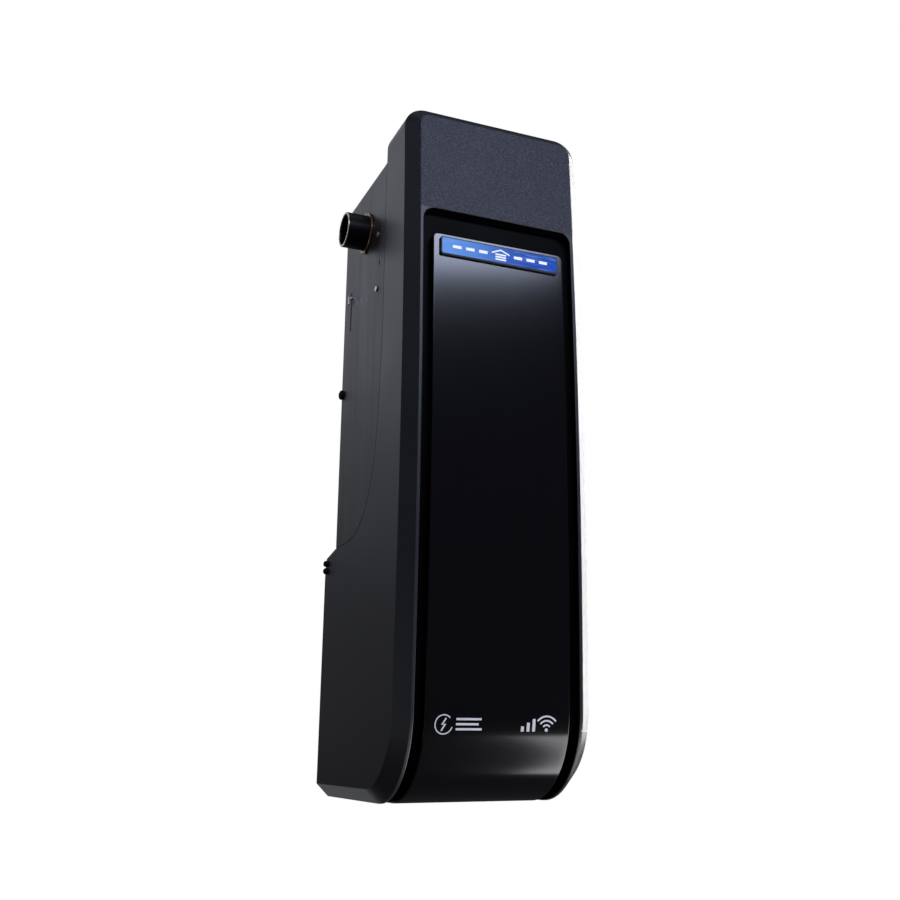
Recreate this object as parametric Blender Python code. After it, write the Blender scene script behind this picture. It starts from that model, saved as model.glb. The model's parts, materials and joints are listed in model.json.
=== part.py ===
"""Wall-mounted garage door opener that turns the door's torsion bar.

Lengths are millimetres until a mesh is made, and MM turns them into metres.
The frame: X runs along the output shaft, -Y is the front, +Y the wall, +Z up.
The origin is on the shaft's axis, half-way along it.
"""

import math

import bmesh
import bpy
from mathutils import Matrix

MM = 0.001
GAP = 0.4  # air left between two pieces that meet

# Outside of the casing
HALF_WIDTH = 76.2
CHAMFER = 10.0
WALL = 2.5
TOP_Z = 72.0
TOP_CORNER_RADIUS = 18.0
COVER_BACK_Y = -50.0
CREST_Y = -108.0
CREST_Z = -169.0
FRONT_RADIUS = 4850.0
HEEL_Z = -395.0
HEEL_RADIUS = 65.0
BOTTOM_Z = HEEL_Z - HEEL_RADIUS
HOUSING_BACK_Y = 88.0
STEP_START = (60.0, -263.5)
STEP_END = (85.0, -268.0)
STEP_CORNER = (HOUSING_BACK_Y, -271.0)
SEAM_CURVE = ((-50.0, -100.0), (-46.0, -190.0), (-42.0, -262.0), (30.0, -263.5))
SEAM_STEPS = 8

# Recess in the front, and the gloss panel in it
RECESS_HALF = 63.5
RECESS_TOP = -20.6
RECESS_RADIUS = 10.0
RECESS_DEPTH = 7.0
RECESS_END_Y = -20.0
PANEL_HALF = 55.7
PANEL_TOP = -41.6
PANEL_RADIUS = 4.0
PANEL_END_Y = -22.0
BADGE_HALF = 50.3
BADGE_TOP = -45.0
BADGE_BOTTOM = -60.0
BADGE_PROUD = 2.4

# Chassis
CHASSIS_TOP = 44.0
CHASSIS_BACK = 60.0
STEEL = 2.2
PLATE_HALF = 64.6
PLATE_BOTTOM = -440.0

# Drive
BORE_RADIUS = 13.0
SHAFT_RADIUS = 15.0
SHAFT_HALF = 97.0
GEAR_TEETH = 30
GEAR_TIP = 34.0
GEAR_ROOT = 30.5
WORM_ROOT = 6.0
WORM_TIP = 9.5
WORM_Y = -(GEAR_TIP + WORM_ROOT + 0.5)
WORM_HALF = 17.0
WORM_PITCH = 2.0 * math.pi * (GEAR_TIP + GEAR_ROOT) / 2.0 / GEAR_TEETH
RUNNING = 0.3  # radial clearance round the shaft

# Release slider
SLOT_Y = 39.0
SLOT_TOP = -40.0
SLOT_BOTTOM = -76.0

# Control tray in the right side
TRAY_Y = (1.0, 73.0)
TRAY_Z = (-403.0, -297.0)
TRAY_FLOOR = (65.5, 68.0)
TRAY_RIM = 73.3
BUTTON_Z = -312.0
BUTTON_YS = {"adjust_button": 10.0, "up_button": 22.5, "down_button": 35.0, "learn_button": 47.5}
TERMINAL_Y = (4.5, 54.0)
TAB_YS = (10.5, 23.0, 35.5, 48.0)
TAB_Z = -364.0
WIRE_Z = -383.0
LED_YS = (16.0, 29.0, 42.0)
LED_Z = -332.0

# Battery bay
BATTERY_LOW = (-45.0, -14.5, -456.4)
BATTERY_HIGH = (45.0, 55.5, -355.0)
DOOR_HALF = 49.0
DOOR_Y = (-15.1, 58.5)


def clear_scene():
    for obj in list(bpy.data.objects):
        bpy.data.objects.remove(obj)


def finish(name, colour, roughness, metallic=0.0):
    """A Principled material."""
    material = bpy.data.materials.new(name)
    material.use_nodes = True
    shader = material.node_tree.nodes["Principled BSDF"]
    shader.inputs["Base Color"].default_value = (*colour, 1.0)
    shader.inputs["Roughness"].default_value = roughness
    shader.inputs["Metallic"].default_value = metallic
    return material


def new_object(name, mesh_data, material, origin=(0.0, 0.0, 0.0)):
    """An object from a bmesh in millimetres, with its origin where asked."""
    bmesh.ops.remove_doubles(mesh_data, verts=mesh_data.verts, dist=1e-4)
    bmesh.ops.dissolve_degenerate(mesh_data, edges=mesh_data.edges, dist=1e-5)
    bmesh.ops.recalc_face_normals(mesh_data, faces=mesh_data.faces)
    shift = Matrix.Translation([-value for value in origin])
    bmesh.ops.transform(mesh_data, matrix=Matrix.Scale(MM, 4) @ shift, verts=mesh_data.verts)
    mesh = bpy.data.meshes.new(name)
    mesh_data.to_mesh(mesh)
    mesh_data.free()
    if material:
        mesh.materials.append(material)
    mesh.shade_smooth()
    mesh.set_sharp_from_angle(angle=math.radians(30.0))
    obj = bpy.data.objects.new(name, mesh)
    obj.location = [value * MM for value in origin]
    bpy.context.scene.collection.objects.link(obj)
    return obj


def loft(name, sections, material, origin=(0.0, 0.0, 0.0)):
    """Closed loops of points, joined in order, with a cap at each end."""
    mesh_data = bmesh.new()
    rings = [[mesh_data.verts.new(point) for point in section] for section in sections]
    for ring, following in zip(rings, rings[1:]):
        count = len(ring)
        for index in range(count):
            after = (index + 1) % count
            mesh_data.faces.new((ring[index], ring[after], following[after], following[index]))
    mesh_data.faces.new(rings[0])
    mesh_data.faces.new(rings[-1])
    return new_object(name, mesh_data, material, origin)


def place(axis, along, first, second):
    """A point from its distance along an axis and its two other coordinates, in X, Y, Z order."""
    point = [first, second]
    point.insert("XYZ".index(axis), along)
    return tuple(point)


def prism(name, outline, axis, low, high, material, origin=(0.0, 0.0, 0.0)):
    """An outline of the two other coordinates, extruded along an axis."""
    sections = [[place(axis, along, *point) for point in outline] for along in (low, high)]
    return loft(name, sections, material, origin)


def block(name, low, high, material, origin=(0.0, 0.0, 0.0)):
    outline = ((low[1], low[2]), (high[1], low[2]), (high[1], high[2]), (low[1], high[2]))
    return prism(name, outline, "X", low[0], high[0], material, origin)


def circle(radius, centre=(0.0, 0.0), steps=24):
    turn = 2.0 * math.pi / steps
    return [
        (centre[0] + radius * math.cos(turn * index), centre[1] + radius * math.sin(turn * index))
        for index in range(steps)
    ]


def rod(name, axis, centre, radius, low, high, material, steps=24, origin=(0.0, 0.0, 0.0)):
    return prism(name, circle(radius, centre, steps), axis, low, high, material, origin)


def turned(name, axis, centre, profile, material, steps=24, origin=(0.0, 0.0, 0.0)):
    """A ring: the closed profile of (radius, along) points carried round the axis."""
    mesh_data = bmesh.new()
    rings = []
    for radius, along in profile:
        points = circle(radius, centre, steps)
        rings.append([mesh_data.verts.new(place(axis, along, *point)) for point in points])
    for ring, following in zip(rings, rings[1:] + rings[:1]):
        for index in range(steps):
            after = (index + 1) % steps
            mesh_data.faces.new((ring[index], ring[after], following[after], following[index]))
    return new_object(name, mesh_data, material, origin)


def capped_turn(name, axis, centre, profile, material, steps=24, origin=(0.0, 0.0, 0.0)):
    """A solid of revolution: the open profile of (radius, along) points, with flat ends."""
    sections = [
        [place(axis, along, *point) for point in circle(radius, centre, steps)]
        for radius, along in profile
    ]
    return loft(name, sections, material, origin)


def combine(target, operation, others):
    for other in others:
        modifier = target.modifiers.new(other.name, "BOOLEAN")
        modifier.operation = operation
        modifier.object = other
        other.hide_render = True
        other.display_type = "WIRE"
    return target


def cut(target, *others):
    return combine(target, "DIFFERENCE", others)


def join(target, *others):
    return combine(target, "UNION", others)


def between(start, end, share):
    return start + (end - start) * share


def bezier(corners, steps):
    """Points on a cubic curve from its four corners."""
    points = []
    for index in range(steps + 1):
        share = index / steps
        rest = 1.0 - share
        weights = (rest**3, 3 * rest**2 * share, 3 * rest * share**2, share**3)
        points.append(
            tuple(sum(w * corner[k] for w, corner in zip(weights, corners)) for k in range(2))
        )
    return points


def front_y(z, depth=0.0):
    """The crowned front at height z, moved in by depth."""
    radius = FRONT_RADIUS - depth
    return CREST_Y + FRONT_RADIUS - math.sqrt(radius**2 - (z - CREST_Z) ** 2)


def front_curve(depth, start_z, end_y, front_steps=8, heel_steps=9):
    """Side outline from start_z down the front and round the heel, to end_y on the underside."""
    centre_y = CREST_Y + FRONT_RADIUS
    heel_reach = FRONT_RADIUS - HEEL_RADIUS
    meet = math.asin((HEEL_Z - CREST_Z) / heel_reach)
    heel_y = centre_y - heel_reach * math.cos(meet)
    end_z = CREST_Z + (FRONT_RADIUS - depth) * math.sin(meet)
    points = []
    for index in range(front_steps):
        z = between(start_z, end_z, index / front_steps)
        points.append((front_y(z, depth), z))
    radius = HEEL_RADIUS - depth
    for index in range(heel_steps + 1):
        angle = between(meet, -math.pi / 2.0, index / heel_steps)
        points.append((heel_y - radius * math.cos(angle), HEEL_Z + radius * math.sin(angle)))
    points.append((end_y, BOTTOM_Z + depth))
    return points


def arc_height(reach, radius, run):
    """Height of a quarter circle above its centre, run past it."""
    return reach + math.sqrt(max(0.0, radius**2 - run**2))


def mirrored(values):
    """Stations from -x to +x, from those of one side."""
    ordered = sorted(values)
    return [-value for value in reversed(ordered)] + ordered


def cover_section(x):
    """One side-to-side station of the cover's outside: crowned front, chamfer, seam curve."""
    corner_x = HALF_WIDTH - TOP_CORNER_RADIUS
    corner_z = TOP_Z - TOP_CORNER_RADIUS
    inner_radius = TOP_CORNER_RADIUS - CHAMFER
    run = max(0.0, abs(x) - corner_x)
    inset = max(0.0, run - inner_radius)
    top = arc_height(corner_z, TOP_CORNER_RADIUS, run)
    front_top = arc_height(corner_z, inner_radius, run)
    section = [(COVER_BACK_Y, top)]
    for share in (0.0, 0.33, 0.66):
        z = between(top, front_top, share)
        depth = max(0.0, math.hypot(run, z - corner_z) - inner_radius)
        section.append((front_y(z) + depth, z))
    section += front_curve(inset, front_top, HOUSING_BACK_Y)
    section += [STEP_CORNER, STEP_END, STEP_START]
    section += reversed(bezier(SEAM_CURVE, SEAM_STEPS))
    return [(x, y, z) for y, z in section]


def cavity_section(x):
    """The same station of the hollow inside, open to the back."""
    slope = WALL * math.sqrt(2.0)
    corner_x = HALF_WIDTH - TOP_CORNER_RADIUS
    corner_z = TOP_Z - TOP_CORNER_RADIUS
    chamfer_start = TOP_CORNER_RADIUS - CHAMFER - slope
    run = max(0.0, abs(x) - corner_x)
    radius = TOP_CORNER_RADIUS - WALL
    inset = run - chamfer_start
    upper = max(WALL, inset)
    lower = max(RECESS_DEPTH + WALL, inset)
    lip_y = COVER_BACK_Y - WALL
    lip_z = CHASSIS_TOP - WALL
    pocket_z = RECESS_TOP + WALL + 1.0
    pocket_y = RECESS_END_Y + WALL + 0.5
    far_y = HOUSING_BACK_Y + 40.0
    top = arc_height(corner_z, radius, run)
    front_top = arc_height(corner_z, chamfer_start + WALL, run)
    section = [(lip_y, top)]
    for share in (0.0, 0.5):
        z = between(top, front_top, share)
        depth = max(WALL, math.hypot(run, z - corner_z) - chamfer_start)
        section.append((front_y(z) + depth, z))
    section.append((front_y(front_top, upper), front_top))
    section.append((front_y(pocket_z, upper), pocket_z))
    section += front_curve(lower + 0.01, pocket_z, pocket_y)
    floor_z = BOTTOM_Z + max(WALL, inset)
    section += [(pocket_y, floor_z), (far_y, floor_z), (far_y, lip_z), (lip_y, lip_z)]
    return [(x, y, z) for y, z in section]


def band_section(x, half, top, radius, depths, end_y):
    """One station of a band that follows the front curve between two depths, with round top corners."""
    run = max(0.0, abs(x) - (half - radius))
    start_z = arc_height(top - radius, radius, run)
    outer = front_curve(depths[0], start_z, end_y)
    inner = front_curve(depths[1], start_z, end_y)
    return [(x, y, z) for y, z in outer + inner[::-1]]


def corner_stations(half, radius, steps):
    return [half - radius + radius * math.sin(math.pi / 2.0 * k / steps) for k in range(steps + 1)]


def band(name, half, top, radius, depths, end_y, material):
    stations = mirrored(corner_stations(half, radius, 4))
    sections = [band_section(x, half, top, radius, depths, end_y) for x in stations]
    return loft(name, sections, material)


def make_cover(material, panel_material, badge_material):
    stations = corner_stations(HALF_WIDTH, TOP_CORNER_RADIUS, 6)
    inner_arc = corner_stations(HALF_WIDTH - CHAMFER, TOP_CORNER_RADIUS - CHAMFER, 3)
    outside = [cover_section(x) for x in mirrored(set(stations + inner_arc))]
    cover = loft("front_cover", outside, material)
    hollow_half = HALF_WIDTH - WALL
    hollow = corner_stations(hollow_half, TOP_CORNER_RADIUS - WALL, 5)
    hollow.append(hollow_half - CHAMFER)
    cavity = loft("cover_cavity", [cavity_section(x) for x in mirrored(hollow)], None)
    depths = (-6.0, RECESS_DEPTH)
    recess = band("recess", RECESS_HALF, RECESS_TOP, RECESS_RADIUS, depths, RECESS_END_Y, None)
    window = block("control_window", (60.0, 4.0, -400.0), (90.0, 70.0, -300.0), None)
    hatch_low = (-DOOR_HALF - GAP, DOOR_Y[0] - GAP, BOTTOM_Z - 5.0)
    hatch_high = (DOOR_HALF + GAP, DOOR_Y[1] + GAP, BOTTOM_Z + 5.0)
    hatch = block("battery_hatch", hatch_low, hatch_high, None)
    cut(cover, cavity, recess, window, hatch)
    panel_depths = (0.0, RECESS_DEPTH - 0.3)
    band("gloss_panel", PANEL_HALF, PANEL_TOP, PANEL_RADIUS, panel_depths, PANEL_END_Y, panel_material)
    make_badge(badge_material)
    return cover


def make_badge(material):
    """A thin plate on the panel's top, following its crown."""
    radius = 1.6
    outline = []
    centres = (
        (BADGE_HALF - radius, BADGE_TOP - radius, 0.0),
        (-BADGE_HALF + radius, BADGE_TOP - radius, 90.0),
        (-BADGE_HALF + radius, BADGE_BOTTOM + radius, 180.0),
        (BADGE_HALF - radius, BADGE_BOTTOM + radius, 270.0),
    )
    for x, z, start in centres:
        for step in range(4):
            angle = math.radians(start + 30.0 * step)
            outline.append((x + radius * math.cos(angle), z + radius * math.sin(angle)))
    back = [(x, front_y(z) - 0.3, z) for x, z in outline]
    face = [(x, front_y(z) - 0.3 - BADGE_PROUD, z) for x, z in outline]
    loft("badge", [back, face], material)


def make_chassis(material):
    """Folded steel tray: two sides, a top and a back that runs down behind the battery."""
    seam = [(y + GAP, z + GAP) for y, z in bezier(SEAM_CURVE, SEAM_STEPS)]
    side = [(COVER_BACK_Y + GAP, CHASSIS_TOP)] + seam
    side += [(CHASSIS_BACK, STEP_START[1] + GAP), (CHASSIS_BACK, CHASSIS_TOP)]
    chassis = prism("chassis", side, "X", -HALF_WIDTH, HALF_WIDTH, material)
    plate_low = (-PLATE_HALF, CHASSIS_BACK - 10.0, PLATE_BOTTOM)
    plate = block("chassis_plate", plate_low, (PLATE_HALF, CHASSIS_BACK, -200.0), None)
    inside_half = HALF_WIDTH - STEEL
    inside_low = (-inside_half, -90.0, PLATE_BOTTOM - 20.0)
    inside_high = (inside_half, CHASSIS_BACK - STEEL, CHASSIS_TOP - STEEL)
    inside = block("chassis_inside", inside_low, inside_high, None)
    holes = [rod("shaft_holes", "X", (0.0, 0.0), 16.6, -90.0, 90.0, None)]
    for z in (-15.0, -64.0):
        holes.append(rod(f"rivet_holes_{-z:.0f}", "X", (-32.0, z), 1.7, -90.0, 90.0, None, 10))
    holes.append(rod("bracket_screw_holes", "X", (54.5, -130.0), 2.0, -90.0, 90.0, None, 10))
    holes.append(block("vent_slots", (-90.0, -37.8, -45.0), (90.0, -36.2, -39.5), None))
    holes.append(
        block("release_slot", (-90.0, SLOT_Y - 1.3, SLOT_BOTTOM), (-60.0, SLOT_Y + 1.3, SLOT_TOP), None)
    )
    for x in (-45.0, 45.0):
        for z in (-60.0, -200.0):
            name = f"wall_hole_{x:.0f}_{-z:.0f}"
            holes.append(rod(name, "Y", (x, z), 2.5, 50.0, 70.0, None, 12))
    join(chassis, plate)
    cut(chassis, inside, *holes)
    return chassis


def make_rear_housing(material, gland_material):
    """Closes the lower back: a sloping shelf and a back wall, with two ribs to the chassis."""
    skin = 2.4
    edge = CHASSIS_BACK + GAP
    half = HALF_WIDTH - WALL - GAP
    foot = BOTTOM_Z + WALL + GAP
    corner = HALF_WIDTH - CHAMFER - WALL
    sections = []
    for x, lift in ((-half, half - corner), (-corner, 0.0), (corner, 0.0), (half, half - corner)):
        outline = (
            (edge, STEP_START[1]),
            STEP_END,
            STEP_CORNER,
            (HOUSING_BACK_Y, foot + lift),
            (HOUSING_BACK_Y - skin, foot + lift),
            (HOUSING_BACK_Y - skin, STEP_CORNER[1] - 1.0),
            (STEP_END[0] - 1.0, STEP_END[1] - skin),
            (edge, STEP_START[1] - skin),
        )
        sections.append([(x, y, z) for y, z in outline])
    housing = loft("rear_housing", sections, material)
    ribs = []
    for x in (-45.0, 45.0):
        low = (x - 1.5, edge, foot)
        high = (x + 1.5, HOUSING_BACK_Y - 1.0, -266.0)
        ribs.append(block(f"rib_{x:.0f}", low, high, None))
    gland_at = (25.0, 74.0)
    hole = rod("gland_hole", "Z", gland_at, 6.9, -290.0, -250.0, None, 20)
    join(housing, *ribs)
    cut(housing, hole)
    gland = ((3.6, -280.0), (6.5, -280.0), (6.5, -262.6), (9.0, -262.6), (9.0, -259.0), (6.0, -252.0))
    turned("cord_gland", "Z", gland_at, gland + ((3.6, -252.0),), gland_material, 20)


def make_battery(case, red, black, strap, door_material):
    """Sealed battery with its two tabs and strap, over a door in the underside."""
    block("battery", BATTERY_LOW, BATTERY_HIGH, case)
    top = BATTERY_HIGH[2] + 0.3
    for name, x, material in (("battery_tab_red", 34.0, red), ("battery_tab_black", -34.0, black)):
        block(name, (x - 3.2, 44.0, top), (x + 3.2, 45.0, top + 7.0), material)
    inner = BATTERY_HIGH[0] + GAP
    outer = inner + 1.6
    front = BATTERY_LOW[1] - GAP
    back = CHASSIS_BACK - STEEL - GAP
    outline = (
        (-outer, back),
        (-inner, back),
        (-inner, front),
        (inner, front),
        (inner, back),
        (outer, back),
        (outer, front - 1.6),
        (-outer, front - 1.6),
    )
    prism("battery_strap", outline, "Z", -415.0, -397.0, strap)
    hinge = (0.0, DOOR_Y[1], BOTTOM_Z)
    low = (-DOOR_HALF, DOOR_Y[0], BOTTOM_Z)
    high = (DOOR_HALF, DOOR_Y[1], BOTTOM_Z + WALL)
    door = block("battery_door", low, high, door_material, hinge)
    scoop = rod("finger_scoop", "X", (DOOR_Y[0] + 3.0, BOTTOM_Z - 2.2), 3.6, -12.0, 12.0, None, 16)
    cut(door, scoop)


def gear_outline(teeth, tip, root, start, tip_share=0.24, root_share=0.52):
    """Straight-sided teeth, the first one centred at the start angle; shares are of the pitch."""
    pitch = 2.0 * math.pi / teeth
    points = []
    for tooth in range(teeth):
        centre = start + pitch * tooth
        corners = (
            (root, -root_share / 2.0),
            (tip, -tip_share / 2.0),
            (tip, tip_share / 2.0),
            (root, root_share / 2.0),
        )
        for radius, share in corners:
            angle = centre + share * pitch
            points.append((radius * math.cos(angle), radius * math.sin(angle)))
    return points


def moved(outline, centre):
    return [(y + centre[0], z + centre[1]) for y, z in outline]


def make_shaft(steel, bronze, gear_material, clutch_material):
    """Hollow output shaft with its worm wheel, encoder ring and dog clutch."""
    bore = SHAFT_RADIUS + RUNNING
    edge = 0.6
    tube = (
        (BORE_RADIUS, -SHAFT_HALF),
        (SHAFT_RADIUS - edge, -SHAFT_HALF),
        (SHAFT_RADIUS, -SHAFT_HALF + edge),
        (SHAFT_RADIUS, SHAFT_HALF - edge),
        (SHAFT_RADIUS - edge, SHAFT_HALF),
        (BORE_RADIUS, SHAFT_HALF),
    )
    turned("output_shaft", "X", (0.0, 0.0), tube, steel, 28)
    # The wheel has a gap between teeth facing the worm, at -Y.
    start = math.pi + math.pi / GEAR_TEETH
    wheel_outline = gear_outline(GEAR_TEETH, GEAR_TIP, GEAR_ROOT, start)
    wheel = prism("output_gear", wheel_outline, "X", -7.0, 7.0, gear_material)
    hub = rod("gear_hub", "X", (0.0, 0.0), 20.0, -22.0, -6.0, None)
    notch_a = block("notch_a", (-23.0, -25.0, -4.0), (-17.4, 25.0, 4.0), None)
    notch_b = block("notch_b", (-23.0, -4.0, -25.0), (-17.4, 4.0, 25.0), None)
    wheel_bore = rod("wheel_bore", "X", (0.0, 0.0), bore, -30.0, 30.0, None)
    join(wheel, hub)
    cut(wheel, notch_a, notch_b, wheel_bore)
    ring = (
        (14.0, -34.0),
        (22.0, -34.0),
        (22.0, -30.5),
        (18.5, -30.5),
        (18.5, -26.5),
        (22.0, -26.5),
        (22.0, -22.4),
        (14.0, -22.4),
    )
    clutch = turned("clutch_ring", "X", (0.0, 0.0), ring, clutch_material)
    dog_a = block("dog_a", (-23.5, -19.4, -3.5), (-18.0, 19.4, 3.5), None)
    dog_b = block("dog_b", (-23.5, -3.5, -19.4), (-18.0, 3.5, 19.4), None)
    clutch_bore = rod("clutch_bore", "X", (0.0, 0.0), bore, -60.0, 0.0, None)
    join(clutch, dog_a, dog_b)
    cut(clutch, clutch_bore)
    for side, name in ((-1.0, "left_bushing"), (1.0, "right_bushing")):
        face = side * HALF_WIDTH
        sleeve = (
            (bore, face - side * 6.0),
            (16.3, face - side * 6.0),
            (16.3, face + side * 0.3),
            (17.6, face + side * 0.3),
            (17.6, face + side * 2.0),
            (bore, face + side * 2.0),
        )
        bushing = turned(name, "X", (0.0, 0.0), sleeve, bronze, 28)
        ears = [
            rod(f"{name}_ear_{z:.0f}", "X", (0.0, z), 1.7, *sorted((face + side * 0.3, face + side * 2.0)),
                None, 10)
            for z in (-17.6, 17.6)
        ]
        join(bushing, *ears)


def make_encoder(gear_material, case):
    """Ring gear on the shaft, the small gear that it turns, and the sensor's case."""
    small_centre = (20.0, -25.2)
    facing = math.atan2(small_centre[1], small_centre[0])
    ring_outline = gear_outline(24, 20.6, 17.2, facing)
    ring = prism("encoder_ring", ring_outline, "X", 30.0, 36.0, gear_material)
    ring_bore = rod("ring_bore", "X", (0.0, 0.0), SHAFT_RADIUS + RUNNING, 20.0, 50.0, None)
    cut(ring, ring_bore)
    half_tooth = math.pi / 16
    small_outline = moved(gear_outline(16, 14.2, 10.8, facing + math.pi + half_tooth), small_centre)
    origin = (33.0, *small_centre)
    small = prism("encoder_gear", small_outline, "X", 30.0, 36.0, gear_material, origin)
    axle = rod("encoder_axle", "X", small_centre, 3.0, 26.0, 50.0, None, 12)
    join(small, axle)
    box = block("encoder_case", (36.6, 10.0, -42.0), (58.0, 36.0, -17.0), case)
    seat = rod("encoder_seat", "X", small_centre, 3.4, 30.0, 52.0, None, 12)
    cut(box, seat)


def worm_thread(name, centre_y, material, steps=16):
    """Right-hand thread: each row of the grid climbs one pitch a turn, and the ends are clamped flat."""
    cycle = ((-0.26, WORM_ROOT), (-0.12, WORM_TIP), (0.12, WORM_TIP), (0.26, WORM_ROOT))
    # The thread's crest crosses z = 0 where it faces the wheel, at +Y.
    turns = math.ceil(WORM_HALF / WORM_PITCH) + 2
    rows = [
        ((turn + share) * WORM_PITCH, radius)
        for turn in range(-turns, turns + 1)
        for share, radius in cycle
    ]
    mesh_data = bmesh.new()
    grid = []
    for step in range(steps):
        angle = 2.0 * math.pi * step / steps
        lift = WORM_PITCH * step / steps
        column = []
        for height, radius in rows:
            z = min(WORM_HALF, max(-WORM_HALF, height + lift))
            reach = radius if abs(z) < WORM_HALF else WORM_ROOT
            x = -reach * math.sin(angle)
            y = centre_y + reach * math.cos(angle)
            column.append(mesh_data.verts.new((x, y, z)))
        grid.append(column)
    for step in range(steps):
        after = grid[(step + 1) % steps]
        shift = len(cycle) if step == steps - 1 else 0
        column = grid[step]
        for row in range(len(rows) - 1 - len(cycle)):
            quad = (column[row], after[row + shift], after[row + 1 + shift], column[row + 1])
            mesh_data.faces.new(quad)
    bmesh.ops.remove_doubles(mesh_data, verts=mesh_data.verts, dist=1e-4)
    bmesh.ops.dissolve_degenerate(mesh_data, edges=mesh_data.edges, dist=1e-5)
    bmesh.ops.holes_fill(mesh_data, edges=mesh_data.edges, sides=0)
    return new_object(name, mesh_data, material, (0.0, centre_y, 0.0))


def make_motor(steel, can_material, magnet_material, winding, bell_material):
    """Motor below the gearbox: its shaft carries the worm."""
    centre = (0.0, WORM_Y)
    origin = (0.0, WORM_Y, 0.0)
    worm = worm_thread("worm_shaft", WORM_Y, steel)
    shaft = rod("motor_spindle", "Z", centre, 4.0, -157.0, 30.0, None, 16)
    join(worm, shaft)
    slots = moved(gear_outline(10, 17.5, 12.0, 0.0, 0.7, 0.4), centre)
    armature = prism("armature", slots, "Z", -142.0, -82.0, winding, origin)
    armature_bore = rod("armature_bore", "Z", centre, 4.3, -160.0, -60.0, None, 16)
    cut(armature, armature_bore)
    shell = ((5.0, -50.0), (29.0, -50.0), (29.0, -165.0), (26.5, -165.0), (26.5, -53.0), (5.0, -53.0))
    turned("motor_can", "Z", centre, shell[::-1], can_material, 28)
    bell = (
        (5.0, -160.0),
        (26.0, -160.0),
        (26.0, -165.4),
        (29.0, -165.4),
        (29.0, -170.0),
        (12.0, -172.0),
        (5.0, -172.0),
    )
    turned("motor_end_bell", "Z", centre, bell, bell_material, 28)
    for name, facing in (("motor_magnet_left", 180.0), ("motor_magnet_right", 0.0)):
        arc = [math.radians(facing - 60.0 + 15.0 * step) for step in range(9)]
        outer = [(26.1 * math.cos(a), WORM_Y + 26.1 * math.sin(a)) for a in arc]
        inner = [(19.0 * math.cos(a), WORM_Y + 19.0 * math.sin(a)) for a in reversed(arc)]
        prism(name, outer + inner, "Z", -145.0, -78.0, magnet_material)


def make_gearbox(material, bracket_material):
    """Cast case round the wheel and worm, its lid, and the block that holds it to the chassis."""
    origin = (0.0, 0.0)
    case = rod("gearbox_case", "X", origin, 38.5, -13.0, 13.0, material, 36)
    tunnel = block("case_tunnel", (-13.0, -54.0, -49.6), (13.0, -20.0, 36.0), None)
    hollow = rod("case_hollow", "X", origin, 35.0, -10.6, 20.0, None, 36)
    tunnel_hollow = block("tunnel_hollow", (-10.6, -52.0, -40.0), (20.0, -18.0, 33.0), None)
    hub_hole = rod("hub_hole", "X", origin, 20.5, -20.0, 0.0, None)
    spindle_hole = rod("spindle_hole", "Z", (0.0, WORM_Y), 4.5, -60.0, -30.0, None, 16)
    join(case, tunnel)
    cut(case, hollow, tunnel_hollow, hub_hole, spindle_hole)
    lid = rod("gearbox_lid", "X", origin, 38.5, 13.4, 16.4, material, 36)
    lid_tunnel = block("lid_tunnel", (13.4, -54.0, -49.6), (16.4, -20.0, 36.0), None)
    lid_hole = rod("lid_hole", "X", origin, SHAFT_RADIUS + RUNNING, 0.0, 30.0, None)
    join(lid, lid_tunnel)
    cut(lid, lid_hole)
    low = (-12.0, 39.0, -18.0)
    high = (12.0, CHASSIS_BACK - STEEL - GAP, 18.0)
    block("gearbox_bracket", low, high, bracket_material)


def make_release(steel, spring_material, fork_material):
    """Slider in the left side whose hook a rope pulls down, its spring, and the clutch fork."""
    inside = -(HALF_WIDTH - STEEL) + 0.8
    hook_top = SLOT_TOP - 4.0
    origin = (inside, SLOT_Y, hook_top)
    low = (inside, SLOT_Y - 6.0, -95.0)
    high = (inside + 2.0, SLOT_Y + 6.0, 12.0)
    slider = block("release_slider", low, high, steel, origin)
    hook = (
        (inside + 0.5, hook_top),
        (-79.2, hook_top),
        (-79.2, hook_top - 7.0),
        (-77.6, hook_top - 7.0),
        (-77.6, hook_top - 2.0),
        (inside + 0.5, hook_top - 2.0),
    )
    sections = [[(x, y, z) for x, z in hook] for y in (SLOT_Y - 0.8, SLOT_Y + 0.8)]
    join(slider, loft("slider_hook", sections, None))
    make_spring("release_spring", (inside + 2.6, SLOT_Y), 13.0, 41.0, spring_material)
    fork = (
        (-6.0, 19.2),
        (-6.0, 25.0),
        (36.0, 25.0),
        (44.0, 8.0),
        (44.0, -8.0),
        (36.0, -25.0),
        (-6.0, -25.0),
        (-6.0, -19.2),
        (22.0, -19.2),
        (22.0, 19.2),
    )
    plate = prism("clutch_fork", fork, "X", -30.0, -27.0, fork_material)
    bar = block("fork_bar", (-64.0, 32.0, -5.0), (-28.0, 40.0, 5.0), None)
    join(plate, bar)


def make_spring(name, centre, low, high, material, coil=2.2, wire=0.45, turns=7, sides=5):
    """Coil spring: a small circle carried along a helix."""
    steps = turns * 9
    sections = []
    for step in range(steps + 1):
        angle = 2.0 * math.pi * turns * step / steps
        z = between(low + wire, high - wire, step / steps)
        section = []
        for x, lift in circle(wire, (coil, 0.0), sides):
            point = (centre[0] + x * math.cos(angle), centre[1] + x * math.sin(angle), z + lift)
            section.append(point)
        sections.append(section)
    loft(name, sections, material)


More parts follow.
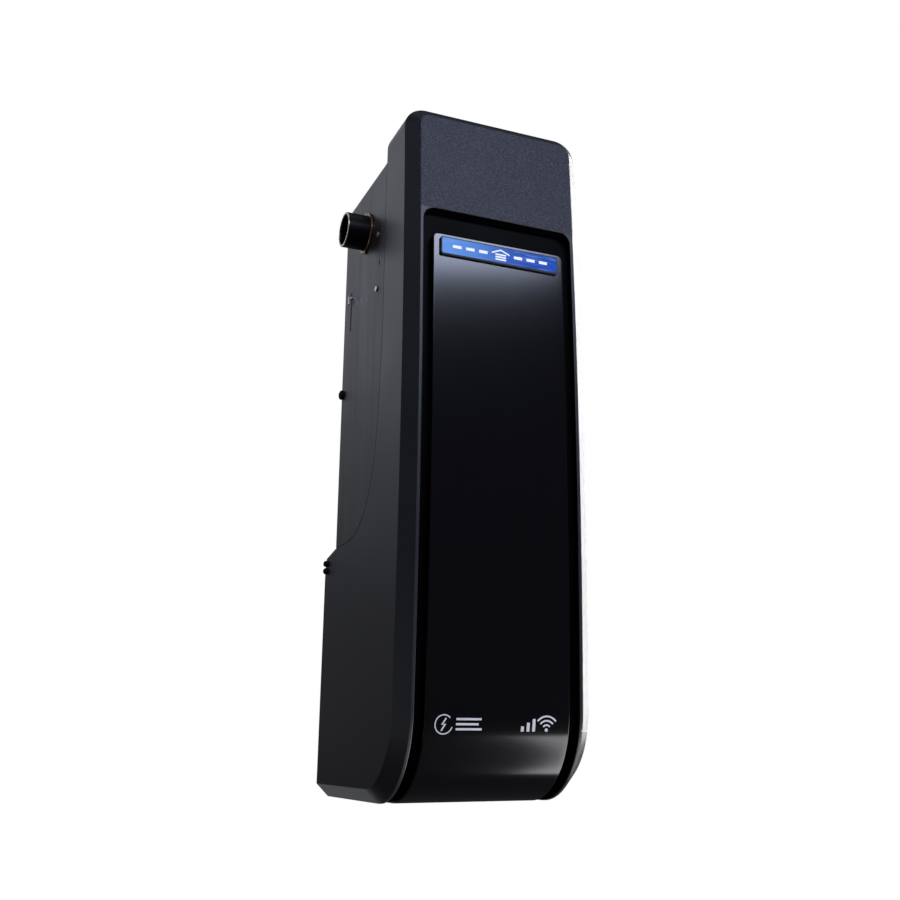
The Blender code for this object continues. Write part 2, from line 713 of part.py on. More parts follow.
def make_electronics(materials):
    """Main board on the right with its parts, and the transformer above the battery."""
    board_x = 57.5
    face = board_x - GAP
    block("logic_board", (board_x, -68.0, -405.0), (board_x + 1.6, 54.0, -292.0), materials["board"])
    block("relay", (38.0, -62.0, -332.0), (face, -44.0, -304.0), materials["relay"])
    rod("main_capacitor", "X", (-28.0, -312.0), 9.0, 27.0, face, materials["sleeve"], 20)
    fins = [(face, -66.0)]
    for fin in range(6):
        start = -66.0 + 8.0 * fin
        fins += [(32.0, start), (32.0, start + 2.5)]
        if fin < 5:
            fins += [(50.0, start + 2.5), (50.0, start + 8.0)]
    fins.append((face, -66.0 + 42.5))
    sections = [[(x, y, z) for x, y in fins] for z in (-400.0, -350.0)]
    loft("heat_sink", sections, materials["aluminium"])
    block("radio_shield", (52.5, -8.0, -342.0), (face, 22.0, -300.0), materials["tin"])
    rod("beeper", "X", (40.0, -322.0), 8.0, 47.0, face, materials["sleeve"], 20)
    core = block("transformer_core", (-66.0, 6.0, -338.0), (-6.0, 30.0, -288.0), materials["laminated"])
    windows = [
        block(f"core_window_{x:.0f}", (x, 0.0, -328.0), (x + 12.0, 40.0, -298.0), None)
        for x in (-56.0, -28.0)
    ]
    cut(core, *windows)
    coil = block("transformer_coil", (-54.5, -4.0, -326.0), (-17.5, 40.0, -300.0), materials["winding"])
    limb = block("coil_limb", (-44.4, 5.6, -340.0), (-27.6, 30.4, -280.0), None)
    cut(coil, limb)


def make_controls(materials):
    """Recessed tray in the right side with buttons, lamps and push-in terminals."""
    low = (TRAY_FLOOR[0], TRAY_Y[0], TRAY_Z[0])
    tray = block("control_tray", low, (TRAY_RIM, TRAY_Y[1], TRAY_Z[1]), materials["tray"])
    foot_low = (60.0, 54.6, TRAY_Z[0])
    foot = block("tray_foot", foot_low, (67.0, CHASSIS_BACK - STEEL - GAP, TRAY_Z[1]), None)
    skin = 2.0
    well = block(
        "tray_well",
        (TRAY_FLOOR[1], TRAY_Y[0] + skin, TRAY_Z[0] + skin),
        (90.0, TRAY_Y[1] - skin, TRAY_Z[1] - skin),
        None,
    )
    openings = [well]
    half = 4.0
    for name, y in BUTTON_YS.items():
        hole = half + GAP
        openings.append(
            block(f"{name}_hole", (60.0, y - hole, BUTTON_Z - hole), (80.0, y + hole, BUTTON_Z + hole), None)
        )
        origin = (TRAY_FLOOR[1], y, BUTTON_Z)
        cap_low = (61.6, y - half, BUTTON_Z - half)
        cap = block(name, cap_low, (71.0, y + half, BUTTON_Z + half), materials[name], origin)
        brim_half = half + 1.5
        brim_low = (63.6, y - brim_half, BUTTON_Z - brim_half)
        brim_high = (65.0, y + brim_half, BUTTON_Z + brim_half)
        join(cap, block(f"{name}_brim", brim_low, brim_high, None))
    bar_low = (62.6, LED_YS[0] - 6.0, LED_Z - 3.0)
    bar_high = (65.0, LED_YS[-1] + 6.0, LED_Z + 3.0)
    bar = block("led_lenses", bar_low, bar_high, materials["lens"])
    for y in LED_YS:
        dome = ((2.2, 64.0), (2.2, 68.6), (1.2, 69.6))
        join(bar, capped_turn(f"lens_{y:.0f}", "X", (y, LED_Z), dome, None, 12))
        openings.append(rod(f"lens_hole_{y:.0f}", "X", (y, LED_Z), 2.6, 60.0, 80.0, None, 12))
    hole_low = (60.0, TERMINAL_Y[0] - GAP, -392.4)
    openings.append(block("terminal_hole", hole_low, (80.0, TERMINAL_Y[1] + GAP, -351.6), None))
    join(tray, foot)
    cut(tray, *openings)
    make_terminals(materials)


def make_terminals(materials):
    low = (60.0, TERMINAL_Y[0], -392.0)
    high = (70.5, TERMINAL_Y[1], -352.0)
    terminal = block("terminal_block", low, high, materials["terminal"])
    cutters = []
    for number, y in enumerate(TAB_YS, start=1):
        slot_low = (63.0, y - 3.5, TAB_Z - 3.0)
        cutters.append(block(f"tab_slot_{number}", slot_low, (80.0, y + 3.5, TAB_Z + 3.0), None))
        cutters.append(rod(f"wire_hole_{number}", "X", (y, WIRE_Z), 1.6, 62.0, 80.0, None, 12))
        origin = (70.5, y, TAB_Z)
        tab_low = (64.6, y - 3.1, TAB_Z - 2.6)
        tab_high = (72.0, y + 3.1, TAB_Z + 2.6)
        block(f"terminal_tab_{number}", tab_low, tab_high, materials[f"tab_{number}"], origin)
    cut(terminal, *cutters)


def fastener(name, side, y, z, head, height, shank, length, material, steps=14):
    """Domed head on a side wall with a short shank through it."""
    face = side * (HALF_WIDTH + 0.3)
    profile = (
        (shank, face - side * length),
        (shank, face),
        (head, face),
        (head, face + side * height * 0.45),
        (head * 0.72, face + side * height * 0.9),
        (head * 0.3, face + side * height),
    )
    capped_turn(name, "X", (y, z), profile, material, steps)


def make_fasteners(rivet, screw, cover):
    holes = []
    for side, word in ((-1.0, "left"), (1.0, "right")):
        fastener(f"rivet_{word}_upper", side, -32.0, -15.0, 2.4, 0.9, 1.4, 2.2, rivet, 12)
        fastener(f"rivet_{word}_lower", side, -32.0, -64.0, 2.4, 0.9, 1.4, 2.2, rivet, 12)
        fastener(f"bracket_screw_{word}", side, 54.5, -130.0, 4.2, 3.4, 1.7, 2.4, screw, 14)
        for row, z in (("upper", -273.0), ("lower", -279.2)):
            fastener(f"cover_screw_{word}_{row}", side, 81.5, z, 2.7, 3.4, 1.3, 2.3, screw, 12)
    for z in (-273.0, -279.2):
        holes.append(rod(f"cover_screw_holes_{-z:.0f}", "X", (81.5, z), 1.7, -90.0, 90.0, None, 10))
    cut(cover, *holes)


def main():
    clear_scene()
    black = finish("black_plastic", (0.028, 0.028, 0.033), 0.42)
    gloss = finish("gloss_black", (0.008, 0.008, 0.010), 0.06)
    blue = finish("badge_blue", (0.04, 0.14, 0.52), 0.25)
    painted = finish("painted_steel", (0.075, 0.076, 0.086), 0.45, 0.1)
    dark_steel = finish("dark_steel", (0.02, 0.02, 0.022), 0.3, 0.8)
    steel = finish("bright_steel", (0.6, 0.6, 0.6), 0.25, 1.0)
    bronze = finish("bronze", (0.36, 0.22, 0.12), 0.35, 1.0)
    cast = finish("cast_aluminium", (0.5, 0.5, 0.52), 0.5, 1.0)
    copper = finish("copper", (0.7, 0.33, 0.16), 0.35, 1.0)
    nylon = finish("white_nylon", (0.75, 0.74, 0.68), 0.5)
    rubber = finish("black_rubber", (0.015, 0.015, 0.016), 0.7)
    yellow = finish("yellow_plastic", (0.75, 0.55, 0.03), 0.4)
    red = finish("red_plastic", (0.55, 0.02, 0.02), 0.4)
    white = finish("white_plastic", (0.75, 0.75, 0.73), 0.4)
    grey = finish("grey_plastic", (0.28, 0.28, 0.29), 0.45)
    green = finish("circuit_green", (0.02, 0.16, 0.06), 0.4)

    cover = make_cover(black, gloss, blue)
    make_chassis(painted)
    make_rear_housing(black, rubber)
    make_battery(grey, red, black, steel, black)
    make_shaft(dark_steel, bronze, bronze, steel)
    make_encoder(nylon, grey)
    make_motor(steel, dark_steel, rubber, copper, cast)
    make_gearbox(cast, cast)
    make_release(steel, steel, dark_steel)
    make_electronics(
        {
            "board": green,
            "relay": black,
            "sleeve": black,
            "aluminium": cast,
            "tin": steel,
            "laminated": dark_steel,
            "winding": copper,
        }
    )
    make_controls(
        {
            "tray": black,
            "lens": white,
            "terminal": grey,
            "adjust_button": black,
            "up_button": grey,
            "down_button": grey,
            "learn_button": yellow,
            "tab_1": red,
            "tab_2": white,
            "tab_3": white,
            "tab_4": grey,
        }
    )
    make_fasteners(steel, dark_steel, cover)


if __name__ == "__main__":
    main()
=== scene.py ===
"""A wall-mounted garage door opener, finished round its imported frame.

Lengths are millimetres up to the point where a mesh is made. X runs along the
output shaft, -Y is the front and +Z is up, as in the frame.
"""

import json
import math

import bmesh
import bpy
import numpy as np
from bpy.props import FloatProperty, FloatVectorProperty, PointerProperty
from mathutils import Matrix, Vector


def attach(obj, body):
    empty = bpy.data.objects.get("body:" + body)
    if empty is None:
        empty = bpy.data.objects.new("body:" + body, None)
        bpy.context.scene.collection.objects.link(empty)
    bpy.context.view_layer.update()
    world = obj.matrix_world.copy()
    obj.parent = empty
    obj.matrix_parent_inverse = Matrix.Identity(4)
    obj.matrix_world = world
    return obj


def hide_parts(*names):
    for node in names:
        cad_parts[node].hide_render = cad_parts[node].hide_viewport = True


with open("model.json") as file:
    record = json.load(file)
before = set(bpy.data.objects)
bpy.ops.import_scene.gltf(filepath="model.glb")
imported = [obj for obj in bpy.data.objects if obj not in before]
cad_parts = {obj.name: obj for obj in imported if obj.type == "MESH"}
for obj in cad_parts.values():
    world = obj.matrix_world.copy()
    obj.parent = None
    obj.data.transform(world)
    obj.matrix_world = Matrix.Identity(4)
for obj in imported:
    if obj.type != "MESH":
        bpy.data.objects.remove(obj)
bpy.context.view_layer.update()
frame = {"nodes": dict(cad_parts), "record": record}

bl_info = {
    "name": "Garage door opener",
    "version": (1, 0, 0),
    "blender": (4, 5, 0),
    "location": "3D View > Sidebar > Opener",
    "description": "Builds the casing, drive and controls of a garage door opener",
    "category": "Add Mesh",
}

MM = 0.001

# Outside of the casing, as in the frame
HALF_WIDTH = 76.2
CHAMFER = 10.0
TOP_Z = 72.0
TOP_RADIUS = 18.0
COVER_BACK_Y = -50.0
CREST_Y = -108.0
CREST_Z = -169.0
FRONT_RADIUS = 4850.0
HEEL_Z = -395.0
HEEL_RADIUS = 65.0
BOTTOM_Z = HEEL_Z - HEEL_RADIUS
BACK_Y = 88.0
STEP = ((60.0, -263.5), (85.0, -268.0), (BACK_Y, -271.0))
SEAM = ((-50.0, -100.0), (-46.0, -190.0), (-42.0, -262.0), (30.0, -263.5))
SEAM_GAP = 0.4

# Distances down the front, measured along it from the top edge
HEEL_TILT = math.asin((CREST_Z - HEEL_Z) / (FRONT_RADIUS - HEEL_RADIUS))
HEEL_Y = CREST_Y + FRONT_RADIUS - (FRONT_RADIUS - HEEL_RADIUS) * math.cos(HEEL_TILT)
CREST_Q = TOP_Z - CREST_Z
HEEL_Q = CREST_Q + FRONT_RADIUS * HEEL_TILT
UNDER_Q = HEEL_Q + HEEL_RADIUS * (math.pi / 2.0 - HEEL_TILT)
BACK_Q = UNDER_Q + BACK_Y - HEEL_Y


def outline_shape(half, top, bottom, radius, foot):
    """A round-cornered outline: radius rounds its two top corners and foot its two bottom ones."""
    return {"half": half, "top": top, "bottom": bottom, "radius": radius, "foot": foot}


def slab_shape(half, top, bottom, radius):
    """An outline whose four corners are alike."""
    return outline_shape(half, top, bottom, radius, radius)


RECESS = outline_shape(63.5, TOP_Z + 20.6, UNDER_Q - 20.0 - HEEL_Y, 10.0, 1.0)
PANEL = outline_shape(55.7, TOP_Z + 41.6, UNDER_Q - 22.0 - HEEL_Y, 4.0, 1.0)
RECESS_DEPTH = 7.0
CHASSIS_TOP = 44.0
CHASSIS_BACK = 60.0
CORNER_ROWS = 20
ACROSS = 24
SHARP_ANGLE = math.radians(35.0)
X, Y, Z = 0, 1, 2
FORWARD, REARWARD = (0, -1, 0), (0, 1, 0)
SIDES = ((-1.0, "left"), (1.0, "right"))

# Marks: depth of what they lie on, thickness and finish
# The badge's marks glow with painted light: they are print, not a lamp.
PAINTED_GLOW = (-2.5, 0.12, "lit_white")
PRINTED = (0.0, 0.06, "print_white")


# Surfaces


def points(x, y, z):
    """Points from three coordinates that are numbers or grids."""
    return np.stack(np.broadcast_arrays(x, y, z), axis=-1)


def front_point(x, q, depth):
    """Wraps the flat layout round the front: x across, q down the front, depth inwards.

    Above the crest the point drops by q from the top and sits on a circle of the
    crown's radius. Below it, the angle is q over the radius: first on the crown,
    then on the heel's circle, and last along the flat underside.
    """
    x, q, depth = np.broadcast_arrays(*(np.asarray(value, float) for value in (x, q, depth)))
    high_z = TOP_Z - q
    rise = np.clip(high_z - CREST_Z, 0.0, None)
    high_y = CREST_Y + FRONT_RADIUS - np.sqrt(FRONT_RADIUS**2 - rise**2) + depth
    tilt = np.clip((q - CREST_Q) / FRONT_RADIUS, 0.0, HEEL_TILT)
    crown_y = CREST_Y + FRONT_RADIUS - (FRONT_RADIUS - depth) * np.cos(tilt)
    crown_z = CREST_Z - (FRONT_RADIUS - depth) * np.sin(tilt)
    turn = np.clip((q - HEEL_Q) / HEEL_RADIUS + HEEL_TILT, HEEL_TILT, math.pi / 2.0)
    heel_y = HEEL_Y - (HEEL_RADIUS - depth) * np.cos(turn)
    heel_z = HEEL_Z - (HEEL_RADIUS - depth) * np.sin(turn)
    zones = [q < CREST_Q, q < HEEL_Q, q < UNDER_Q]
    y = np.select(zones, [high_y, crown_y, heel_y], HEEL_Y + q - UNDER_Q)
    z = np.select(zones, [high_z, crown_z, heel_z], BOTTOM_Z + depth)
    return points(x, y, z)


def side_stations(shape):
    """Distances down an outline's side, close together round the heel and far apart on the flats."""
    low, high = shape["top"] + shape["radius"], shape["bottom"] - shape["foot"]
    flats = np.linspace(0.0, HEEL_Q, 34), np.linspace(UNDER_Q, BACK_Q, 12)
    heel = np.linspace(HEEL_Q, UNDER_Q, 40)
    every = np.unique(np.concatenate((flats[0], heel, flats[1])))
    inner = every[(every > low + 0.5) & (every < high - 0.5)]
    return np.concatenate(([high], inner[::-1], [low]))


def left_edge(shape, grow, sides):
    """Left half of a round-cornered outline, bottom to top, moved outwards by grow.

    Each corner is a quarter circle about a fixed centre, whose radius takes grow.
    """
    foot, radius = shape["foot"], shape["radius"]
    turn = np.linspace(-math.pi / 2.0, 0.0, CORNER_ROWS, endpoint=False)
    low_x = -(shape["half"] - foot) - (foot + grow) * np.cos(turn)
    low_q = shape["bottom"] - foot - (foot + grow) * np.sin(turn)
    turn = np.linspace(0.0, math.pi / 2.0, CORNER_ROWS + 1)[1:]
    high_x = -(shape["half"] - radius) - (radius + grow) * np.cos(turn)
    high_q = shape["top"] + radius - (radius + grow) * np.sin(turn)
    side_x = np.full(len(sides), -shape["half"] - grow)
    return np.concatenate((low_x, side_x, high_x)), np.concatenate((low_q, sides, high_q))


def cover_edge(inset, sides, straight=8):
    """The same rows on the casing's own outline, moved inwards by inset."""
    radius = TOP_RADIUS - inset
    low_q = np.linspace(BACK_Q, sides[0], CORNER_ROWS, endpoint=False)
    rise_q = np.linspace(sides[-1], TOP_RADIUS, straight + 1)[1:]
    turn = np.linspace(0.0, math.pi / 2.0, CORNER_ROWS - straight + 1)[1:]
    high_x = -(HALF_WIDTH - TOP_RADIUS) - radius * np.cos(turn)
    high_q = TOP_RADIUS - radius * np.sin(turn)
    flat_x = np.full(CORNER_ROWS + len(sides) + straight, -HALF_WIDTH + inset)
    return np.concatenate((flat_x, high_x)), np.concatenate((low_q, sides, rise_q, high_q))


def ring(edge, closed=True):
    """Carries a left edge over the top and down the right, and back along the bottom."""
    x, q = edge
    across = np.linspace(-1.0, 1.0, ACROSS + 1)[1:-1]
    top_x = across * -x[-1]
    parts_x = [x, top_x, -x[::-1]]
    parts_q = [q, np.full(len(top_x), q[-1]), q[::-1]]
    if closed:
        parts_x.append(across[::-1] * -x[0])
        parts_q.append(np.full(len(across), q[0]))
    return np.concatenate(parts_x), np.concatenate(parts_q)


def filled(edge):
    """Fills the space between a left edge and its mirror image with straight rows."""
    x, q = edge
    across = np.linspace(-1.0, 1.0, ACROSS + 1)
    return -x[:, None] * across[None, :], np.repeat(q[:, None], ACROSS + 1, axis=1)


def fillet(radius, turn_from, turn_to, steps=5):
    """Offsets of a rounded corner: a circle's arc as (outwards, inwards) pairs about its centre."""
    turn = np.radians(np.linspace(turn_from, turn_to, steps))
    return np.stack([-np.cos(turn) * radius, -np.sin(turn) * radius], axis=-1)


def grid_faces(rows, columns, start, closed=False):
    """Quads of a grid whose points are stored row by row."""
    cells = columns if closed else columns - 1
    row, column = np.meshgrid(np.arange(rows - 1), np.arange(cells), indexing="ij")
    after = (column + 1) % columns
    here, below = row * columns, (row + 1) * columns
    corners = (here + column, here + after, below + after, below + column)
    return np.stack([corner.ravel() for corner in corners], axis=-1) + start


def surface(name, grids, finish, nodes=(), body="housing", slot=None, wall=0.0, facing=None):
    """One piece from grids of points in millimetres, joined where they meet.

    A grid in a tuple closes on itself across its rows. facing is a direction that
    the face furthest along it looks in, for an open skin; wall gives such a skin
    its thickness inwards. The slot argument is not used.
    """
    corners, faces, start = [], [], 0
    for grid in grids:
        closed = isinstance(grid, tuple)
        grid = grid[0] if closed else grid
        rows, columns = grid.shape[:2]
        corners.append(grid.reshape(-1, 3))
        faces.append(grid_faces(rows, columns, start, closed))
        start += rows * columns
    corners, faces = np.concatenate(corners) * MM, np.concatenate(faces)
    mesh = bpy.data.meshes.new(name)
    mesh.from_pydata(corners.tolist(), [], faces.tolist())
    work = bmesh.new()
    work.from_mesh(mesh)
    bmesh.ops.remove_doubles(work, verts=work.verts, dist=2e-6)
    bmesh.ops.dissolve_degenerate(work, edges=work.edges, dist=1e-7)
    bmesh.ops.recalc_face_normals(work, faces=work.faces)
    if facing is not None:
        face = max(work.faces, key=lambda item: item.calc_center_median().dot(facing))
        if face.normal.dot(facing) < 0.0:
            bmesh.ops.reverse_faces(work, faces=work.faces)
    work.to_mesh(mesh)
    work.free()
    piece = bpy.data.objects.new(name, mesh)
    bpy.context.scene.collection.objects.link(piece)
    if wall:
        solid = piece.modifiers.new("wall", "SOLIDIFY")
        solid.thickness, solid.offset = wall * MM, -1.0
        settle(piece)
    piece.data.materials.append(finishes()[finish])
    smooth(piece)
    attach(piece, body)
    if nodes:
        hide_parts(*nodes)
    slot = finish if slot is None else slot
    return piece


def settle(piece):
    """Turns a piece's modifiers into its mesh."""
    graph = bpy.context.evaluated_depsgraph_get()
    mesh = bpy.data.meshes.new_from_object(piece.evaluated_get(graph))
    piece.modifiers.clear()
    piece.data = mesh


def smooth(piece):
    """Shades a piece smooth between its sharp edges, with normals that favour large faces."""
    piece.data.shade_smooth()
    piece.data.set_sharp_from_angle(angle=SHARP_ANGLE)
    piece.modifiers.new("normals", "WEIGHTED_NORMAL").keep_sharp = True


def carve(piece, cutters):
    """Takes each cutter out of a piece and removes the cutter."""
    piece.modifiers.clear()
    for cutter in cutters:
        hollow = piece.modifiers.new(cutter.name, "BOOLEAN")
        hollow.operation, hollow.object = "DIFFERENCE", cutter
    settle(piece)
    for cutter in cutters:
        bpy.data.objects.remove(cutter)
    smooth(piece)


def prism(name, outline, axis, low, high):
    """A cutter: an outline of the two other coordinates, carried along an axis."""
    outline = np.asarray(outline, float)
    rings = [np.insert(outline, axis, along, axis=1) for along in (low, high)]
    work = bmesh.new()
    ends = [[work.verts.new(point * MM) for point in row] for row in rings]
    for end in ends:
        work.faces.new(end)
    for index in range(len(outline)):
        after = (index + 1) % len(outline)
        work.faces.new((ends[0][index], ends[0][after], ends[1][after], ends[1][index]))
    bmesh.ops.recalc_face_normals(work, faces=work.faces)
    mesh = bpy.data.meshes.new(name)
    work.to_mesh(mesh)
    work.free()
    cutter = bpy.data.objects.new(name, mesh)
    bpy.context.scene.collection.objects.link(cutter)
    return cutter


def rounded(low, high, radius, steps=5):
    """Outline of a rectangle with quarter-circle corners."""
    low, high = np.asarray(low, float), np.asarray(high, float)
    centres = [(high[0], high[1]), (low[0], high[1]), (low[0], low[1]), (high[0], low[1])]
    inward = [(-1, -1), (1, -1), (1, 1), (-1, 1)]
    outline = []
    for number, (centre, sign) in enumerate(zip(centres, inward)):
        turn = np.radians(90.0 * number + np.linspace(0.0, 90.0, steps))
        middle = np.add(centre, np.multiply(sign, radius))
        outline.append(middle + radius * np.stack([np.cos(turn), np.sin(turn)], axis=-1))
    return np.concatenate(outline)


def disc(centre, radius, steps=24):
    """Outline of a circle."""
    turn = np.linspace(0.0, 2.0 * math.pi, steps, endpoint=False)
    return np.stack([centre[0] + radius * np.cos(turn), centre[1] + radius * np.sin(turn)], axis=-1)


def turned(name, axis, centre, profile, finish, nodes=(), steps=64, tube=False, **rest):
    """A profile of (radius, along) pairs carried round an axis; a tube's joins its own ends."""
    profile = np.asarray(profile, float)
    if tube:
        profile = np.concatenate((profile, profile[:1]))
    turn = np.linspace(0.0, 2.0 * math.pi, steps, endpoint=False)
    first = centre[0] + profile[:, :1] * np.cos(turn)
    second = centre[1] + profile[:, :1] * np.sin(turn)
    coordinates = [first, second]
    coordinates.insert(axis, profile[:, 1:])
    return surface(name, [(points(*coordinates),)], finish, nodes, **rest)


def pad(name, wrap, shape, profile, finish, nodes=(), sides=None, crown=None, **rest):
    """A slab on a wrapped flat layout, closed by a filled face and a filled back.

    The profile gives the (grow, depth) of its rings, and crown adds a depth to
    the face from its own two coordinates.
    """
    if sides is None:
        sides = np.linspace(shape["bottom"] - shape["foot"], shape["top"] + shape["radius"], 9)
    grids = []
    for grow, depth in (profile[0], profile[-1]):
        x, q = filled(left_edge(shape, grow, sides))
        bulge = crown(x, q) if crown is not None and not grids else 0.0
        grids.append(wrap(x, q, depth + bulge))
    rows = [wrap(*ring(left_edge(shape, grow, sides)), depth) for grow, depth in profile]
    grids.append((np.stack(rows),))
    return surface(name, grids, finish, nodes, **rest)


# Shader expressions


class Value:
    """A shader output that takes part in sums, which add their Math nodes."""

    def __init__(self, shader, link):
        self.shader, self.link = shader, link

    def maths(self, operation, first, second):
        return self.shader.add("ShaderNodeMath", {"operation": operation}, {0: first, 1: second})

    def __add__(self, other):
        return self.maths("ADD", self, other)

    def __sub__(self, other):
        return self.maths("SUBTRACT", self, other)

    def __rsub__(self, other):
        return self.maths("SUBTRACT", other, self)

    def __mul__(self, other):
        return self.maths("MULTIPLY", self, other)

    __radd__ = __add__
    __rmul__ = __mul__

    def above(self, low, high):
        """0 below low and 1 above high, smooth between."""
        settings = {"interpolation_type": "SMOOTHSTEP"}
        values = {0: self, 1: low, 2: high, 3: 0.0, 4: 1.0}
        return self.shader.add("ShaderNodeMapRange", settings, values)


class Shader:
    """A Principled material whose nodes are added by expressions."""

    def __init__(self, name, roughness=0.5, metallic=0.0, **constants):
        self.material = bpy.data.materials.new(name)
        self.material.use_nodes = True
        self.tree = self.material.node_tree
        self.surface = self.tree.nodes["Principled BSDF"]
        self.set("Roughness", roughness)
        self.set("Metallic", metallic)
        for key, value in constants.items():
            self.set(key.replace("_", " "), value)

    def add(self, kind, settings, values, output=0):
        node = self.tree.nodes.new(kind)
        for key, value in settings.items():
            setattr(node, key, value)
        for key, value in values.items():
            self.plug(node.inputs[key], value)
        return Value(self, node.outputs[output])

    def plug(self, socket, value):
        if isinstance(value, Value):
            self.tree.links.new(value.link, socket)
        elif value is not None:
            socket.default_value = value

    def set(self, name, value):
        self.plug(self.surface.inputs[name], value)
        return self

    def place(self):
        return self.add("ShaderNodeTexCoord", {}, {}, "Object")

    def axes(self):
        split = self.add("ShaderNodeSeparateXYZ", {}, {0: self.place()})
        node = split.link.node
        return [Value(self, output) for output in node.outputs]

    def stretched(self, scale):
        return self.add("ShaderNodeMapping", {}, {"Vector": self.place(), "Scale": scale})

    def noise(self, scale, detail=2.0, roughness=0.5, vector=None):
        values = {"Vector": vector or self.place(), "Scale": scale, "Detail": detail, "Roughness": roughness}
        return self.add("ShaderNodeTexNoise", {}, values, "Fac")

    def cells(self, scale, feature="SMOOTH_F1"):
        values = {"Vector": self.place(), "Scale": scale}
        return self.add("ShaderNodeTexVoronoi", {"feature": feature}, values, "Distance")

    def waves(self, axis, scale, distortion):
        values = {"Vector": self.place(), "Scale": scale, "Distortion": distortion}
        return self.add("ShaderNodeTexWave", {"bands_direction": axis}, values)

    def width(self):
        """Distance from the middle, to either side."""
        return self.add("ShaderNodeMath", {"operation": "ABSOLUTE"}, {0: self.axes()[0]})

    def blend(self, share, first, second):
        first, second = ((*c, 1.0) if isinstance(c, tuple) and len(c) == 3 else c for c in (first, second))
        return self.add("ShaderNodeMix", {"data_type": "RGBA"}, {0: share, 6: first, 7: second}, 2)

    def finished(self, colour, roughness, height, strength, distance):
        """Sets the colour, the roughness and a bump, and gives the material."""
        values = {"Strength": strength, "Distance": distance, "Height": height}
        bump = self.add("ShaderNodeBump", {}, values)
        return self.set("Base Color", colour).set("Roughness", roughness).set("Normal", bump).material


def shade(colour, factor):
    """A colour made darker or lighter."""
    return tuple(min(1.0, channel * factor) for channel in colour)


def moulded(name, colour, roughness, grain=0.4, scale=900.0, **constants):
    """Moulded plastic: fine spark grain, slight colour mottling and handling sheen."""
    mat = Shader(name, **constants)
    cloud = mat.noise(28.0, 3.0)
    fine = mat.noise(scale, 2.0, 0.6)
    tone = mat.blend(cloud.above(0.35, 0.7), shade(colour, 0.88), shade(colour, 1.12))
    return mat.finished(tone, roughness + (cloud - 0.5) * 0.10 + (fine - 0.5) * 0.08, fine, grain, 0.00012)


def metal(name, colour, roughness, stretch=(60.0, 60.0, 900.0), worn=None, grain=0.25):
    """Bright metal with fine drawn lines, and duller or browner patches."""
    mat = Shader(name, metallic=1.0)
    lines = mat.noise(1.0, 3.0, 0.6, mat.stretched(stretch))
    cloud = mat.noise(45.0, 4.0)
    patch = cloud.above(0.42, 0.68)
    tone = mat.blend(patch, colour, worn or shade(colour, 0.72))
    return mat.finished(tone, roughness + (lines - 0.5) * 0.2 + patch * 0.12, lines, grain, 0.00006)


def cast(name, colour, roughness):
    """Sand-blasted die casting: pits over a slow waviness."""
    mat = Shader(name, metallic=1.0)
    pits = mat.noise(650.0, 4.0, 0.65)
    cloud = mat.noise(30.0, 3.0)
    tone = mat.blend(cloud.above(0.3, 0.75), shade(colour, 0.8), shade(colour, 1.1))
    return mat.finished(tone, roughness + (cloud - 0.5) * 0.2, pits, 0.5, 0.0002)


def cover_plastic(looks):
    """The cover: leather grain on the upper front, whose pale bluish flecks are partly a painted sheen, a
    fine satin on the sides, smooth in the channel.
    """
    colour = tuple(looks.cover_colour)
    mat = Shader("cover_plastic", IOR=1.5)
    _, y, z = mat.axes()
    # In metres: within the chamfers, above the recess and no deeper than the crown
    middle = 1.0 - mat.width().above(0.0664, 0.0690)
    front = middle * z.above(-0.0215, -0.0195) * (1.0 - y.above(-0.1015, -0.0985))
    per_metre = 1.0 / looks.grain_size
    pebble = mat.cells(per_metre)
    speckle = mat.noise(per_metre * 1.7, 3.0, 0.7)
    grain = pebble * 0.7 + speckle * 0.6
    satin = mat.noise(1500.0, 2.0, 0.6)
    cloud = mat.noise(14.0, 3.0)
    tone = mat.blend(cloud.above(0.3, 0.7), shade(colour, 0.9), shade(colour, 1.1))
    # The pale bluish flecks on the upper front are partly the grain and partly a painted sheen of the light
    # from above.
    grain_and_sheen = mat.blend(grain.above(0.46, 0.78), shade(colour, 0.45), (0.050, 0.054, 0.086))
    rough = 0.40 + (cloud - 0.5) * 0.08 + front * (0.08 + speckle * 0.12)
    height = satin * 0.22 + front * (grain - satin * 0.22)
    return mat.finished(mat.blend(front, tone, grain_and_sheen), rough, height, 0.65, 0.00035)


def channel_black():
    """Painted shade in the recess: near-black with little reflection, a little duller where it is hard to
    wipe.
    """
    mat = Shader("channel_black", IOR=1.4, Specular_IOR_Level=0.04)
    cloud = mat.noise(20.0, 3.0)
    tone = mat.blend(cloud, (0.0012, 0.0012, 0.0014), (0.0024, 0.0024, 0.0028))
    return mat.finished(tone, 0.34 + cloud * 0.12, mat.noise(900.0, 2.0), 0.1, 0.0001)


def panel_gloss(looks):
    """High gloss black with a faint ripple from the mould and light dust in the polish."""
    mat = Shader("gloss_panel", IOR=1.5)
    cloud = mat.noise(9.0, 3.0)
    dust = mat.noise(700.0, 2.0, 0.7)
    colour = tuple(looks.panel_colour)
    tone = mat.blend(cloud, shade(colour, 0.8), shade(colour, 1.2))
    rough = 0.125 + cloud * 0.03 + dust.above(0.62, 0.8) * 0.06
    return mat.finished(tone, rough, mat.noise(16.0, 1.0), 0.05, 0.0006)


def painted(looks):
    """Powder-coated steel: orange peel, slight streaks down the sheet and paler rubbed patches."""
    colour = tuple(looks.chassis_colour)
    mat = Shader("chassis_paint", IOR=1.5)
    peel = mat.noise(1100.0, 3.0, 0.6)
    streak = mat.noise(1.0, 3.0, 0.55, mat.stretched((90.0, 90.0, 6.0)))
    cloud = mat.noise(18.0, 4.0)
    tone = mat.blend(cloud.above(0.3, 0.72), shade(colour, 0.85), shade(colour, 1.15))
    return mat.finished(tone, 0.42 + (streak - 0.5) * 0.14 + (cloud - 0.5) * 0.08, peel, 0.75, 0.00016)


